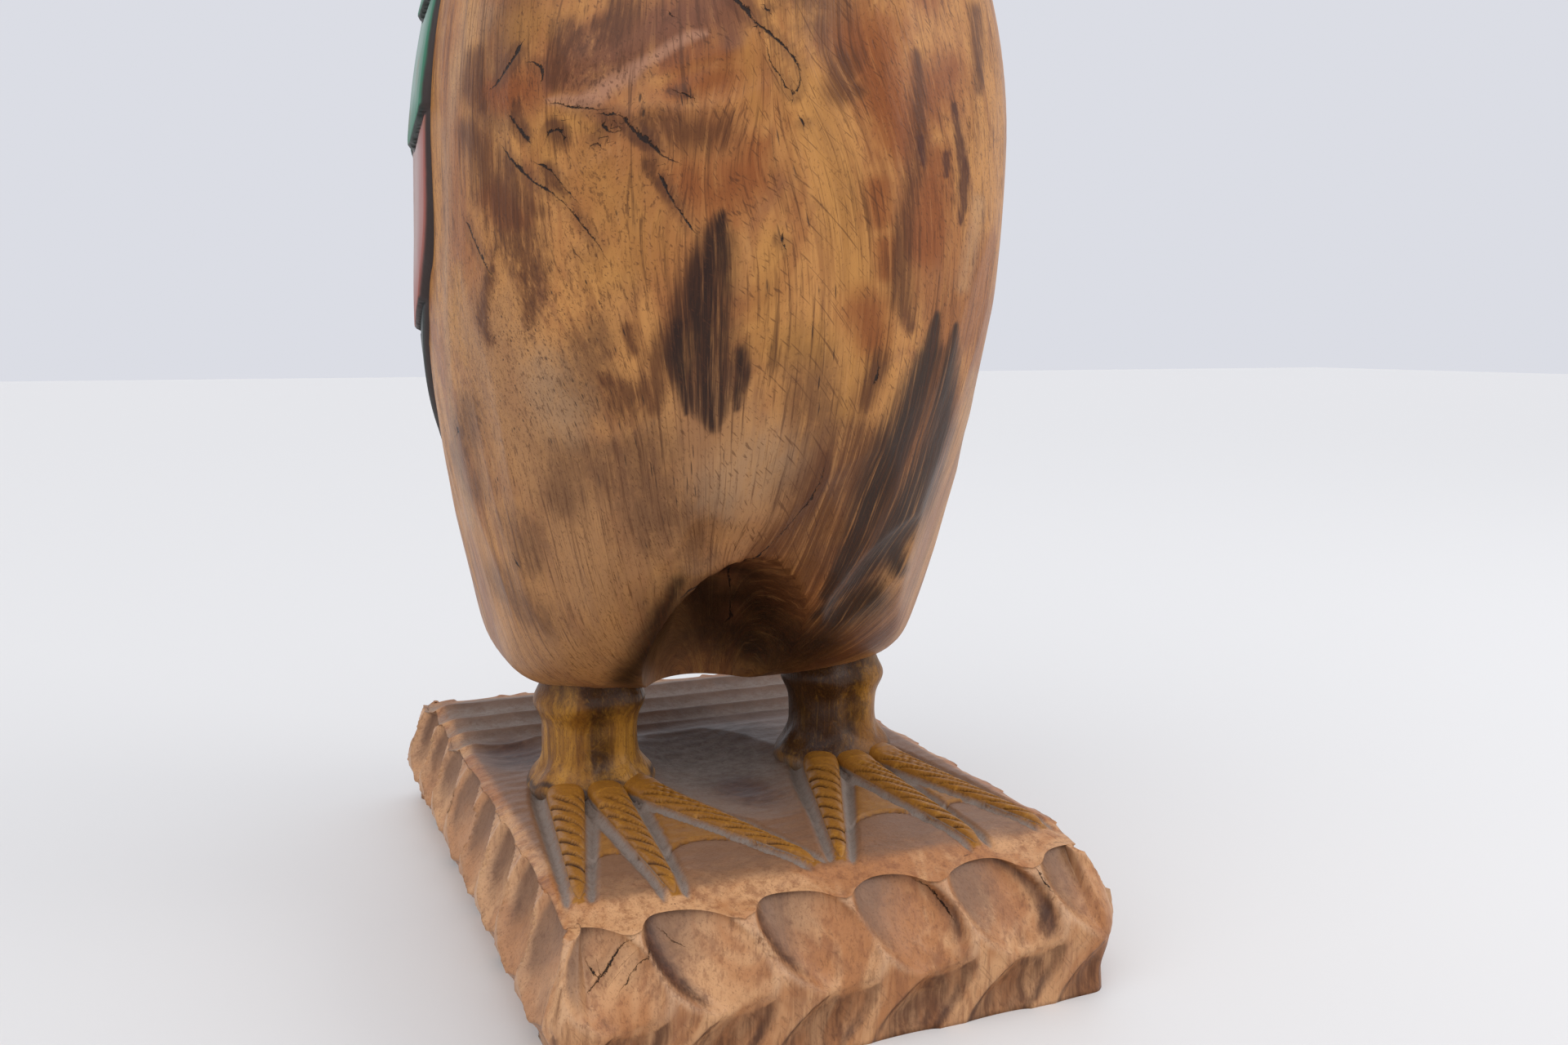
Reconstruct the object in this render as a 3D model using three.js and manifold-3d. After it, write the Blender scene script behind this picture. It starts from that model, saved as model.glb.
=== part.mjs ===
// A folk-carved swan standing upright on its plinth, all cut from one block of wood.
// Millimetres, +Z up. The origin is the centre of the plinth's underside, and the bird faces -Y.
import * as THREE from 'three';
import { mergeVertices } from 'three/addons/utils/BufferGeometryUtils.js';
import Module from 'manifold-3d';

const wasm = await Module();
wasm.setup();

// Driving dimensions.
const plinth = {
  width: 250,
  depth: 376,
  height: 64,
  cornerRadius: 20,
  slopeStart: 30, // height at which the sides start to lean in
  endSlope: 26, // how far the front and back lean in by the top edge
  sideSlope: 15,
  endFoot: 3, // and how far they draw in again towards the underside
  sideFoot: 11,
  footHeight: 32,
  topMargin: 14, // height left above the top, cut away by the carved ground
};
const scoop = {
  count: 29, // tilted oval gouge cuts round the plinth
  offset: 25, // distance of the first one from the middle of the front, to the right
  height: 46,
  halfWidth: 23,
  halfHeight: 27,
  lean: -0.45, // sideways shift for each millimetre of height
  depth: 6,
};
const leaf = {
  // long leaf-shaped cuts below the ovals, one under each
  height: 13,
  halfWidth: 17,
  halfHeight: 30,
  lean: 0.8,
  depth: 4.5,
};
const ground = {
  hollow: { x: 0, y: -28, halfWidth: 40, halfLength: 74, depth: 6 },
  flute: { front: 28, back: 172, count: 6, bunching: 0.72, depth: 3.6 }, // closer together towards the front
  fluteFade: 0.35, // share of the fluted length over which the flutes reach their full depth
  frontDip: { depth: 4, start: 140, end: 180 }, // the top falls away towards the front edge
};
const trunk = {
  bottom: 109,
  shoulder: 498, // height where the neck takes over from the barrel
  widest: 351,
  halfWidth: 127,
  frontDepth: 138,
  backDepth: 140,
  sideReach: 364, // how far below the widest height each outline would close
  frontReach: 256,
  backReach: 290,
  upperReach: 190,
  squareness: 2.4,
  thighSquareness: 3.6, // the section is boxier at the thighs
  thighTop: 225,
  axis: -14, // the barrel leans forward of the plinth's middle
  axisHeight: 300,
  axisCurve: 17, // and swings back over the legs
  axisSpan: 176,
  sideLean: 3, // the middle of the barrel stands this far towards the bird's right
  sideLeanHeight: 242,
  sideLeanSpan: 60,
  hemStart: 139, // below this height the thighs are cut in towards their underside
  hemInset: 38,
  hemFrontShare: 0.2, // the front of the thighs runs nearly straight down to the legs
};
const neckSquareness = 2.1; // nearly round
const neck = [
  // centre line (y, z), half-width across and half-depth fore and aft
  { y: -32, z: 536, across: 60, foreAft: 64 },
  { y: -50, z: 578, across: 48, foreAft: 51 },
  { y: -54, z: 628, across: 41, foreAft: 43 },
  { y: -42, z: 682, across: 37, foreAft: 39 },
  { y: -34, z: 730, across: 35, foreAft: 37 },
  { y: -44, z: 772, across: 36, foreAft: 38 },
  { y: -74, z: 795, across: 38, foreAft: 38 },
  { y: -106, z: 792, across: 37, foreAft: 35 },
  { y: -132, z: 777, across: 29, foreAft: 26 },
  { y: -152, z: 764, across: 22, foreAft: 17 },
  { y: -178, z: 749, across: 21, foreAft: 11 },
  { y: -198, z: 738, across: 17, foreAft: 8 },
  { y: -207, z: 733, across: 10, foreAft: 5 },
  { y: -210, z: 731, across: 4, foreAft: 2 },
];
const billKnob = { y: -142, z: 787, halfWidth: 10, halfLength: 15, halfHeight: 10 };
const eye = { x: 34, y: -104, z: 797, radius: 6.5 };
const flats = [
  // places where the adze took one flat cut off the round: a point in the cut, and the way it faces
  { at: [86, -78, 186], facing: [0.7, -0.6, -0.3], size: 150 },
  { at: [-75, -129, 374], facing: [-0.47, -0.82, 0.33], size: 90 },
];
const niche = {
  // the gouged hollow between the thighs
  x: -14,
  y: -108,
  z: 104,
  halfWidth: 42,
  halfDepth: 92,
  halfHeight: 74,
};
const leg = {
  x: 62,
  y: -20,
  foot: 58,
  top: 132,
  halfWidth: 22,
  halfDepth: 20,
  knuckle: { height: 104, swell: 4, span: 7 },
  flare: { height: 64, swell: 8, span: 9 },
  cleft: { depth: 3.5, halfAngle: 0.35 }, // the groove down the front of the leg, in radians
  rings: 9,
};
const toe = {
  // base and tip of each toe of the left foot; the right foot is its mirror image
  runs: [
    { base: [44, -48], tip: [6, -152] },
    { base: [62, -52], tip: [66, -157] },
    { base: [80, -44], tip: [101, -151] },
  ],
  baseHalfWidth: 8.5,
  tipHalfWidth: 2,
  baseRise: 9,
  tipRise: 1.5,
  rooted: 8, // how far its solid goes down into the plinth
  section: [[-1.25, null], [-0.7, 0.7], [0, 1], [0.7, 0.7], [1.25, null]], // share of half-width and of rise
  notchPitch: 8,
  notchDepth: 1.4,
  groove: { halfWidth: 4, depth: 4, narrowing: 0.55, shallowing: 0.4, gap: 1.05, steps: 3 },
};
const tail = {
  rootY: 50,
  rootZ: 236,
  tipY: 150,
  tipZ: 126,
  rootHalfWidth: 66,
  tipHalfWidth: 40,
  rootHalfThick: 52,
  tipHalfThick: 7,
  squareness: 2.6,
  feathers: 5,
  ridge: 2.5,
  lobe: 8, // how far each feather's round end stands out
  taper: 14, // how much shorter the outer feathers are
  rings: 7,
};
const wing = {
  top: 492,
  tip: 150,
  leadAngle: 87, // degrees round from the front
  trailAngle: 173,
  shoulderShare: 0.2, // share of the length over which the shoulder rounds off
  shoulderSweep: 42,
  sweepTop: 325, // height where the leading edge starts to sweep back to the tip
  tipLead: 150,
  tipTrail: 162,
  leadBend: 1.6, // higher bends the edge later and harder
  trailBend: 2,
  proud: 3,
  rooted: 7, // how far its solid goes down into the trunk
  covertEnd: 352, // heights where each row of feathers ends
  secondaryEnd: 273,
  rowStep: 2.4, // each row's lower edge stands this far off the row below it
  covertRow: 55,
  covertRows: 3,
  feathersAcross: 5,
  scallop: 15,
};
const segments = {
  round: 30,
  hem: 4,
  barrel: 12,
  neck: 21,
  leg: 12,
  niche: 20,
  small: 10,
  wingLong: 25,
  wingAcross: 13,
  scoop: 5,
  groundLong: 46,
  groundAcross: 6,
};

const front = new THREE.Vector3(0, -1, 0);
const lerp = THREE.MathUtils.lerp;
const clamp = THREE.MathUtils.clamp;
const smooth = THREE.MathUtils.smoothstep;

// A solid from a list of vertices and triangles, turned so that its faces point out.
function solidFrom(points, triangles) {
  let volume = 0;
  for (const [a, b, c] of triangles) {
    volume += points[a].dot(points[b].clone().cross(points[c]));
  }
  const faces = volume < 0 ? triangles.map(([a, b, c]) => [a, c, b]) : triangles;
  const mesh = new wasm.Mesh({
    numProp: 3,
    vertProperties: new Float32Array(points.flatMap((p) => [p.x, p.y, p.z])),
    triVerts: new Uint32Array(faces.flat()),
  });
  return new wasm.Manifold(mesh);
}

// Joins rings of equal count into a closed skin, with a fan to the middle of the first and last ring.
function loft(rings) {
  const count = rings[0].length;
  const points = rings.flat();
  const triangles = [];
  for (let row = 0; row + 1 < rings.length; row += 1) {
    for (let i = 0; i < count; i += 1) {
      const a = row * count + i;
      const b = row * count + ((i + 1) % count);
      triangles.push([a, b, b + count], [a, b + count, a + count]);
    }
  }
  for (const [row, turned] of [[0, true], [rings.length - 1, false]]) {
    const middle = new THREE.Vector3();
    rings[row].forEach((p) => middle.addScaledVector(p, 1 / count));
    points.push(middle);
    for (let i = 0; i < count; i += 1) {
      const a = row * count + i;
      const b = row * count + ((i + 1) % count);
      triangles.push(turned ? [b, a, points.length - 1] : [a, b, points.length - 1]);
    }
  }
  return solidFrom(points, triangles);
}

// A closed block between a grid of top points and the same grid of bottom points.
function slab(rows, columns, topAt, bottomAt) {
  const points = [];
  const triangles = [];
  const layer = (rows + 1) * (columns + 1);
  for (const at of [topAt, bottomAt]) {
    for (let r = 0; r <= rows; r += 1) {
      for (let c = 0; c <= columns; c += 1) {
        points.push(at(r / rows, c / columns));
      }
    }
  }
  const index = (r, c) => r * (columns + 1) + c;
  for (let r = 0; r < rows; r += 1) {
    for (let c = 0; c < columns; c += 1) {
      const quad = [index(r, c), index(r, c + 1), index(r + 1, c + 1), index(r + 1, c)];
      const [a, b, d, e] = quad;
      triangles.push([a, b, d], [a, d, e]);
      triangles.push([a + layer, d + layer, b + layer], [a + layer, e + layer, d + layer]);
    }
  }
  const rim = [];
  for (let c = 0; c < columns; c += 1) rim.push(index(0, c));
  for (let r = 0; r < rows; r += 1) rim.push(index(r, columns));
  for (let c = columns; c > 0; c -= 1) rim.push(index(rows, c));
  for (let r = rows; r > 0; r -= 1) rim.push(index(r, 0));
  rim.forEach((a, i) => {
    const b = rim[(i + 1) % rim.length];
    triangles.push([a, a + layer, b + layer], [a, b + layer, b]);
  });
  return solidFrom(points, triangles);
}

// An ellipsoid: a sphere stretched to three radii, with its seam and poles merged.
function ellipsoid(centre, radii, around) {
  const sphere = new THREE.SphereGeometry(1, around, around / 2);
  sphere.deleteAttribute('normal');
  sphere.deleteAttribute('uv');
  sphere.scale(...radii).translate(...centre);
  const merged = mergeVertices(sphere);
  return new wasm.Manifold(new wasm.Mesh({
    numProp: 3,
    vertProperties: merged.attributes.position.array,
    triVerts: new Uint32Array(merged.index.array),
  }));
}

// One coordinate of a superellipse: a circle's cosine or sine, pushed out towards the corners.
const squared = (value, power) => Math.sign(value) * Math.abs(value) ** (2 / power);

// The barrel of the body at one height: middle, half-width and the two half-depths.
function trunkAt(z) {
  const below = z < trunk.widest;
  const rise = Math.abs(z - trunk.widest);
  const share = (reach) => Math.sqrt(1 - (rise / (below ? reach : trunk.upperReach)) ** 2);
  const aboveHem = clamp((z - trunk.bottom) / (trunk.hemStart - trunk.bottom), 0, 1);
  const hem = trunk.hemInset * (1 - Math.sqrt(1 - (1 - aboveHem) ** 2));
  const thigh = 1 - clamp((z - trunk.bottom) / (trunk.thighTop - trunk.bottom), 0, 1);
  return {
    x: -trunk.sideLean * Math.exp(-(((z - trunk.sideLeanHeight) / trunk.sideLeanSpan) ** 2)),
    squareness: lerp(trunk.squareness, trunk.thighSquareness, thigh),
    y: trunk.axis + trunk.axisCurve * (Math.min(0, z - trunk.axisHeight) / trunk.axisSpan) ** 2,
    across: trunk.halfWidth * share(trunk.sideReach) - hem,
    front: trunk.frontDepth * share(trunk.frontReach) - hem * trunk.hemFrontShare,
    back: trunk.backDepth * share(trunk.backReach) - hem,
  };
}

// A point of the barrel's surface: angle in degrees round from the front, height, and offset outwards.
function onTrunk(angle, z, out = 0) {
  const at = trunkAt(z);
  const turn = THREE.MathUtils.degToRad(angle);
  const depth = Math.cos(turn) > 0 ? at.front : at.back;
  return new THREE.Vector3(
    at.x + (at.across + out) * squared(Math.sin(turn), at.squareness),
    at.y - (depth + out) * squared(Math.cos(turn), at.squareness),
    z,
  );
}

// Barrel rings from the underside up to the shoulder, then rings square to the neck's centre line.
function makeBird() {
  const rings = [];
  for (let i = 0; i < segments.hem; i += 1) {
    rings.push(barrelRing(lerp(trunk.bottom, trunk.hemStart, (i / segments.hem) ** 2)));
  }
  for (let i = 0; i <= segments.barrel; i += 1) {
    rings.push(barrelRing(lerp(trunk.hemStart, trunk.shoulder, i / segments.barrel)));
  }
  const start = trunkAt(trunk.shoulder);
  const foreAft = (start.front + start.back) / 2;
  const stations = [{ y: start.y, z: trunk.shoulder, across: start.across, foreAft }, ...neck];
  const line = new THREE.CatmullRomCurve3(stations.map((s) => new THREE.Vector3(0, s.y, s.z)));
  const sizes = new THREE.CatmullRomCurve3(stations.map((s) => new THREE.Vector3(s.across, s.foreAft, 0)));
  for (let i = 1; i <= segments.neck; i += 1) {
    const t = i / segments.neck;
    const along = line.getTangent(t);
    const square = new THREE.Vector3(0, -along.z, along.y);
    const forward = front.clone().lerp(square, smooth(t, 0.05, 0.4)).normalize();
    const size = sizes.getPoint(t);
    const power = lerp(trunk.squareness, neckSquareness, smooth(t, 0, 0.3));
    rings.push(sectionRing(line.getPoint(t), forward, size.x, size.y, power));
  }
  return loft(rings);
}

function barrelRing(z) {
  const ring = [];
  for (let i = 0; i < segments.round; i += 1) {
    ring.push(onTrunk((360 * i) / segments.round, z));
  }
  return ring;
}

// A superellipse ring about a point, with its depth along the given forward direction.
function sectionRing(centre, forward, across, foreAft, power) {
  const ring = [];
  for (let i = 0; i < segments.round; i += 1) {
    const turn = (2 * Math.PI * i) / segments.round;
    const point = centre.clone().addScaledVector(forward, foreAft * squared(Math.cos(turn), power));
    point.x += across * squared(Math.sin(turn), power);
    ring.push(point);
  }
  return ring;
}

// How far the skin of a wing stands off the barrel: like shingles, each row of feathers is thickest
// at its scalloped lower edge and runs down to nothing where the row above covers it.
function wingRelief(z, acrossShare) {
  const scallop = wing.scallop * (1 - Math.abs(Math.sin(Math.PI * acrossShare * wing.feathersAcross)));
  const coverts = Array.from({ length: wing.covertRows }, (_, row) => wing.covertEnd + row * wing.covertRow);
  const edges = [wing.tip, wing.secondaryEnd, ...coverts, wing.top + wing.scallop];
  const row = edges.findLastIndex((edge) => z >= edge + (edge > wing.tip ? scallop : 0));
  const share = clamp((z - edges[row]) / (edges[row + 1] - edges[row]), 0, 1);
  return wing.proud + wing.rowStep * (1 - share);
}

// A raised wing lying on the barrel, from the rounded shoulder down to a tip beside the tail.
function makeWing(side) {
  const heightAt = (down) => lerp(wing.top, wing.tip, down);
  const angleAt = (down, acrossShare) => {
    const rounding = clamp(1 - down / wing.shoulderShare, 0, 1);
    const bend = 1 - Math.sqrt(1 - rounding ** 2);
    const sweep = clamp((wing.sweepTop - heightAt(down)) / (wing.sweepTop - wing.tip), 0, 1);
    const lead = lerp(wing.leadAngle, wing.tipLead, sweep ** wing.leadBend) + wing.shoulderSweep * bend;
    const trail = lerp(wing.trailAngle, wing.tipTrail, sweep ** wing.trailBend) - wing.shoulderSweep * bend;
    return lerp(lead, trail, acrossShare);
  };
  const skin = (down, acrossShare, out) => onTrunk(side * angleAt(down, acrossShare), heightAt(down), out);
  const top = (down, acrossShare) => skin(down, acrossShare, wingRelief(heightAt(down), acrossShare));
  const bottom = (down, acrossShare) => skin(down, acrossShare, -wing.rooted);
  return slab(segments.wingLong, segments.wingAcross, top, bottom);
}

// The tail: a flat wedge of ridged feathers below the wing tips.
function makeTail() {
  const root = new THREE.Vector3(0, tail.rootY, tail.rootZ);
  const tip = new THREE.Vector3(0, tail.tipY, tail.tipZ);
  const along = tip.clone().sub(root).normalize();
  const outward = new THREE.Vector3(0, -along.z, along.y);
  const rings = [];
  for (let i = 0; i <= tail.rings; i += 1) {
    const t = i / tail.rings;
    const centre = root.clone().lerp(tip, t);
    const width = lerp(tail.rootHalfWidth, tail.tipHalfWidth, t);
    const thick = lerp(tail.rootHalfThick, tail.tipHalfThick, Math.sqrt(t));
    const ring = sectionRing(centre, outward, width, thick, tail.squareness);
    for (const point of ring) {
      const share = point.x / width;
      const lobe = Math.abs(Math.cos((Math.PI * tail.feathers * share) / 2));
      point.addScaledVector(outward, tail.ridge * t * (lobe - 0.5));
      point.addScaledVector(along, t * t * (lobe * tail.lobe - tail.taper * share * share));
    }
    rings.push(ring);
  }
  return loft(rings);
}

// A swelling centred on one height that dies away over its span above and below.
const swelling = ({ height, swell, span }, z) => swell * Math.exp(-(((z - height) / span) ** 2));

// One leg: a stout post with a knuckle, a flared foot and a cleft down its front.
function makeLeg(side) {
  const rings = [];
  for (let i = 0; i <= leg.rings; i += 1) {
    const z = lerp(leg.foot, leg.top, i / leg.rings);
    const swell = swelling(leg.knuckle, z) + swelling(leg.flare, z);
    const ring = [];
    for (let k = 0; k < segments.leg; k += 1) {
      const turn = (2 * Math.PI * k) / segments.leg;
      const fromFront = Math.min(turn, 2 * Math.PI - turn);
      const radius = swell - leg.cleft.depth * Math.exp(-((fromFront / leg.cleft.halfAngle) ** 2));
      const x = side * leg.x + (leg.halfWidth + radius) * Math.sin(turn);
      const y = leg.y - (leg.halfDepth + radius) * Math.cos(turn);
      ring.push(new THREE.Vector3(x, y, z));
    }
    rings.push(ring);
  }
  return loft(rings);
}

// Height of the carved top of the plinth: fluted behind, hollowed between the feet.
function groundHeight(x, y) {
  const { hollow, flute, frontDip } = ground;
  let z = plinth.height;
  const reach = ((x - hollow.x) / hollow.halfWidth) ** 2 + ((y - hollow.y) / hollow.halfLength) ** 2;
  z -= hollow.depth * Math.max(0, 1 - reach);
  z -= frontDip.depth * smooth(-y, frontDip.start, frontDip.end);
  if (y > flute.front) {
    const along = (y - flute.front) / (flute.back - flute.front);
    const phase = flute.count * along ** flute.bunching;
    z -= flute.depth * Math.abs(Math.sin(Math.PI * phase)) * smooth(along, 0, ground.fluteFade);
  }
  return z;
}

// The plinth's outline, a rounded rectangle drawn anticlockwise from the middle of its front.
function plinthOutline() {
  const radius = plinth.cornerRadius;
  const x = plinth.width / 2 - radius;
  const y = plinth.depth / 2 - radius;
  const outline = new THREE.Path();
  outline.moveTo(0, -y - radius);
  outline.lineTo(x, -y - radius);
  outline.absarc(x, -y, radius, -Math.PI / 2, 0);
  outline.lineTo(x + radius, y);
  outline.absarc(x, y, radius, 0, Math.PI / 2);
  outline.lineTo(-x, y + radius);
  outline.absarc(-x, y, radius, Math.PI / 2, Math.PI);
  outline.lineTo(-x - radius, -y);
  outline.absarc(-x, -y, radius, Math.PI, 1.5 * Math.PI);
  outline.lineTo(0, -y - radius);
  return outline;
}

// The plinth: gouged sides from rings round the outline, cut off above by the carved ground.
function makePlinth() {
  const outline = plinthOutline();
  const perimeter = outline.getLength();
  const pitch = perimeter / scoop.count;
  const columns = scoop.count * segments.scoop;
  const heights = [0, 12, 24, 36, 48, plinth.height, plinth.height + plinth.topMargin];
  const rings = heights.map((z) => {
    const ring = [];
    for (let i = 0; i < columns; i += 1) {
      const point = outline.getPoint(i / columns);
      const along = outline.getTangent(i / columns);
      const normal = new THREE.Vector3(along.y, -along.x, 0);
      const inset = plinthInset((perimeter * i) / columns, Math.min(z, plinth.height), pitch, normal);
      ring.push(new THREE.Vector3(point.x, point.y, z).addScaledVector(normal, -inset));
    }
    return ring;
  });
  const halfX = plinth.width / 2;
  const halfY = plinth.depth / 2;
  const top = (row, column) => {
    const x = lerp(-halfX, halfX, column);
    const y = lerp(-halfY, halfY, row);
    return new THREE.Vector3(x, y, groundHeight(x, y));
  };
  const below = (row, column) => top(row, column).setZ(-1);
  return loft(rings).intersect(slab(segments.groundLong, segments.groundAcross, top, below));
}

// How far the plinth's side lies inside its outline, at distance s round it and height z.
function plinthInset(s, z, pitch, normal) {
  const endwise = Math.abs(normal.y);
  const rise = clamp((z - plinth.slopeStart) / (plinth.height - plinth.slopeStart), 0, 1);
  const slope = lerp(plinth.sideSlope, plinth.endSlope, endwise) * rise ** 1.5;
  const foot = lerp(plinth.sideFoot, plinth.endFoot, endwise) * (1 - smooth(z, 0, plinth.footHeight));
  const from = s - scoop.offset;
  return slope + foot + gougeDepth(scoop, from, z, pitch) + gougeDepth(leaf, from, z, pitch);
}

// Depth of one of a row of leaning oval cuts: a dish that is deepest at its middle.
function gougeDepth(cut, s, z, pitch) {
  const shifted = s - cut.lean * (z - cut.height);
  const across = shifted - pitch * Math.round(shifted / pitch);
  const reach = (across / cut.halfWidth) ** 2 + ((z - cut.height) / cut.halfHeight) ** 2;
  return cut.depth * Math.max(0, 1 - reach);
}

// The line a toe runs along: its base, the way it points, its length and the way across it.
function toeLine(run, side) {
  const start = new THREE.Vector3(side * run.base[0], run.base[1], 0);
  const end = new THREE.Vector3(side * run.tip[0], run.tip[1], 0);
  const along = end.clone().sub(start).normalize();
  return { start, along, length: start.distanceTo(end), sideways: new THREE.Vector3(-along.y, along.x, 0) };
}

// A toe: a ridge that tapers to its tip, notched across, from its base at the leg.
function makeToe(run, side) {
  const { start, along, length, sideways } = toeLine(run, side);
  const steps = Math.round(length / toe.notchPitch);
  const rings = [];
  for (let i = 0; i <= steps; i += 1) {
    const t = i / steps;
    const centre = start.clone().addScaledVector(along, t * length);
    const half = lerp(toe.baseHalfWidth, toe.tipHalfWidth, t);
    const notch = i % 2 === 0 ? 0 : toe.notchDepth * (1 - t);
    const rise = lerp(toe.baseRise, toe.tipRise, Math.sqrt(t)) - notch;
    const level = groundHeight(centre.x, centre.y);
    rings.push(toe.section.map(([across, share]) => {
      const z = share === null ? level - toe.rooted : level + rise * share;
      return centre.clone().addScaledVector(sideways, across * half).setZ(z);
    }));
  }
  return loft(rings);
}

// The V-shaped groove along one side of a toe, narrower and shallower towards the tip.
function toeGroove(run, side, hand) {
  const { start, along, length, sideways } = toeLine(run, side);
  const { groove } = toe;
  const rings = [];
  for (let i = 0; i <= groove.steps; i += 1) {
    const t = i / groove.steps;
    const half = groove.halfWidth * (1 - groove.narrowing * t);
    const gap = lerp(toe.baseHalfWidth, toe.tipHalfWidth, t) * groove.gap + half;
    const centre = start.clone().addScaledVector(along, t * length).addScaledVector(sideways, hand * gap);
    const z = groundHeight(centre.x, centre.y);
    rings.push([
      centre.clone().addScaledVector(sideways, -2 * half).setZ(z + groove.depth),
      centre.clone().setZ(z - groove.depth * (1 - groove.shallowing * t)),
      centre.clone().addScaledVector(sideways, 2 * half).setZ(z + groove.depth),
    ]);
  }
  return loft(rings);
}

// A thick square plate outside one flat cut, to be taken off the body.
function flatCutter({ at, facing, size }) {
  const out = new THREE.Vector3(...facing).normalize();
  const turn = new THREE.Quaternion().setFromUnitVectors(new THREE.Vector3(0, 0, 1), out);
  const corner = (u, v, w) => new THREE.Vector3(lerp(-size, size, u), lerp(-size, size, v), w)
    .applyQuaternion(turn).add(new THREE.Vector3(...at));
  return slab(1, 1, (u, v) => corner(u, v, size), (u, v) => corner(u, v, 0));
}

// Carves one foot into the plinth's top and stands its leg on it.
function addFoot(base, side) {
  let solid = base;
  for (const run of toe.runs) {
    for (const hand of [-1, 1]) solid = solid.subtract(toeGroove(run, side, hand));
  }
  for (const run of toe.runs) solid = solid.add(makeToe(run, side));
  return solid.add(makeLeg(side));
}

function makeSwan() {
  const nicheRadii = [niche.halfWidth, niche.halfDepth, niche.halfHeight];
  const knobRadii = [billKnob.halfWidth, billKnob.halfLength, billKnob.halfHeight];
  const eyeRadii = [eye.radius, eye.radius, eye.radius];
  let bird = makeBird().subtract(ellipsoid([niche.x, niche.y, niche.z], nicheRadii, segments.niche));
  for (const flat of flats) bird = bird.subtract(flatCutter(flat));
  bird = bird.add(makeTail()).add(ellipsoid([0, billKnob.y, billKnob.z], knobRadii, segments.small));
  let base = makePlinth();
  for (const side of [-1, 1]) {
    bird = bird.add(makeWing(side)).add(ellipsoid([side * eye.x, eye.y, eye.z], eyeRadii, segments.small));
    base = addFoot(base, side);
  }
  return bird.add(base);
}

// A three.js geometry with the solid's vertices and triangles.
function geometryOf(solid) {
  const mesh = solid.getMesh();
  const geometry = new THREE.BufferGeometry();
  geometry.setAttribute('position', new THREE.BufferAttribute(new Float32Array(mesh.vertProperties), 3));
  geometry.setIndex(new THREE.BufferAttribute(new Uint32Array(mesh.triVerts), 1));
  geometry.computeVertexNormals();
  return geometry;
}

const waxedWood = new THREE.MeshStandardMaterial({ color: 0xa97442, roughness: 0.45, metalness: 0 });
const carvedSwan = new THREE.Mesh(geometryOf(makeSwan()), waxedWood);
carvedSwan.name = 'carved_swan';

const sculpture = new THREE.Group();
sculpture.add(carvedSwan);

export default sculpture;
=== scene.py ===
import bpy
import numpy as np
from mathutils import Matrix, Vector


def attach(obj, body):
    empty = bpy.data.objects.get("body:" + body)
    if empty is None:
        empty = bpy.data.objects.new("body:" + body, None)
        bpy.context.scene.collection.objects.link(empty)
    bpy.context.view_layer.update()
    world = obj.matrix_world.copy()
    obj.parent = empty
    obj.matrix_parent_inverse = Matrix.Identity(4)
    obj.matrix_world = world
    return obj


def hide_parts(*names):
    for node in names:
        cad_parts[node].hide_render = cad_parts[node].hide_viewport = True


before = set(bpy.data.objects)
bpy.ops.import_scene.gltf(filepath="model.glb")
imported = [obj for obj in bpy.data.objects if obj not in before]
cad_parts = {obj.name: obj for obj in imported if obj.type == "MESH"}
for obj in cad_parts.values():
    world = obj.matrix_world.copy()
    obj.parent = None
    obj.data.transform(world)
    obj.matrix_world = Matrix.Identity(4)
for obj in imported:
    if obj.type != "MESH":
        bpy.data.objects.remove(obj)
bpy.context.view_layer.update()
print("frame loaded")

# A swan carved from one block of wood. Sizes are in millimetres until a mesh is made.
# The frame's origin is the middle of the plinth's underside, +Z is up and the bird faces -Y.
mm = 0.001  # a millimetre in metres
far = 1e9  # millimetres, farther than anything here

camera = {
    "place": (-218.3, -629.5, 269.8),
    "azimuth": -22.66,  # degrees the line of sight is turned from +Y
    "pitch": 7.7,  # degrees down
    "lens": 31.5,
    "sensor": 36,
}
eyepoint = bpy.data.cameras.new("eyepoint")
eyepoint.lens = camera["lens"]
eyepoint.sensor_width = camera["sensor"]
eyepoint.sensor_fit = "HORIZONTAL"
cameraObject = bpy.data.objects.new("eyepoint", eyepoint)
turn, drop = np.radians(camera["azimuth"]), np.radians(camera["pitch"])
sight = Vector((-np.sin(turn) * np.cos(drop), np.cos(turn) * np.cos(drop), -np.sin(drop)))
cameraObject.location = Vector(camera["place"]) * mm
cameraObject.rotation_mode = "QUATERNION"
cameraObject.rotation_quaternion = sight.to_track_quat("-Z", "Y")
bpy.context.scene.collection.objects.link(cameraObject)
bpy.context.scene.camera = cameraObject


# Small tools for numbers, meshes and materials.

# A straight blend from a to b.
def lerp(a, b, share):
    return a + (b - a) * share


# An S-shaped rise from 0 at low to the strength at high:
# strength * s^2 * (3 - 2s). A high below low makes it fall.
def smooth(value, low, high, strength=1.0):
    share = np.clip((value - low) / (high - low), 0, 1)
    return strength * share * share * (3 - 2 * share)


# The larger of a and b, with the corner between them rounded over: (a + b + sqrt((a - b)^2 + width^2)) / 2.
def roundedMax(a, b, width):
    return (a + b + np.sqrt((a - b) ** 2 + width**2)) / 2


# A sphere's cosine or sine pushed towards the corners: sign(v) * |v| to the power 2/p.
def squared(value, power):
    return np.sign(value) * np.abs(value) ** (2 / power)


waves = {
    "count": 9,
    "spread": (0.6, 1.5),  # how many waves fit in one wavelength, drawn between these
    "lastPhase": 6.28,
    "divisor": 4,
}


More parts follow.
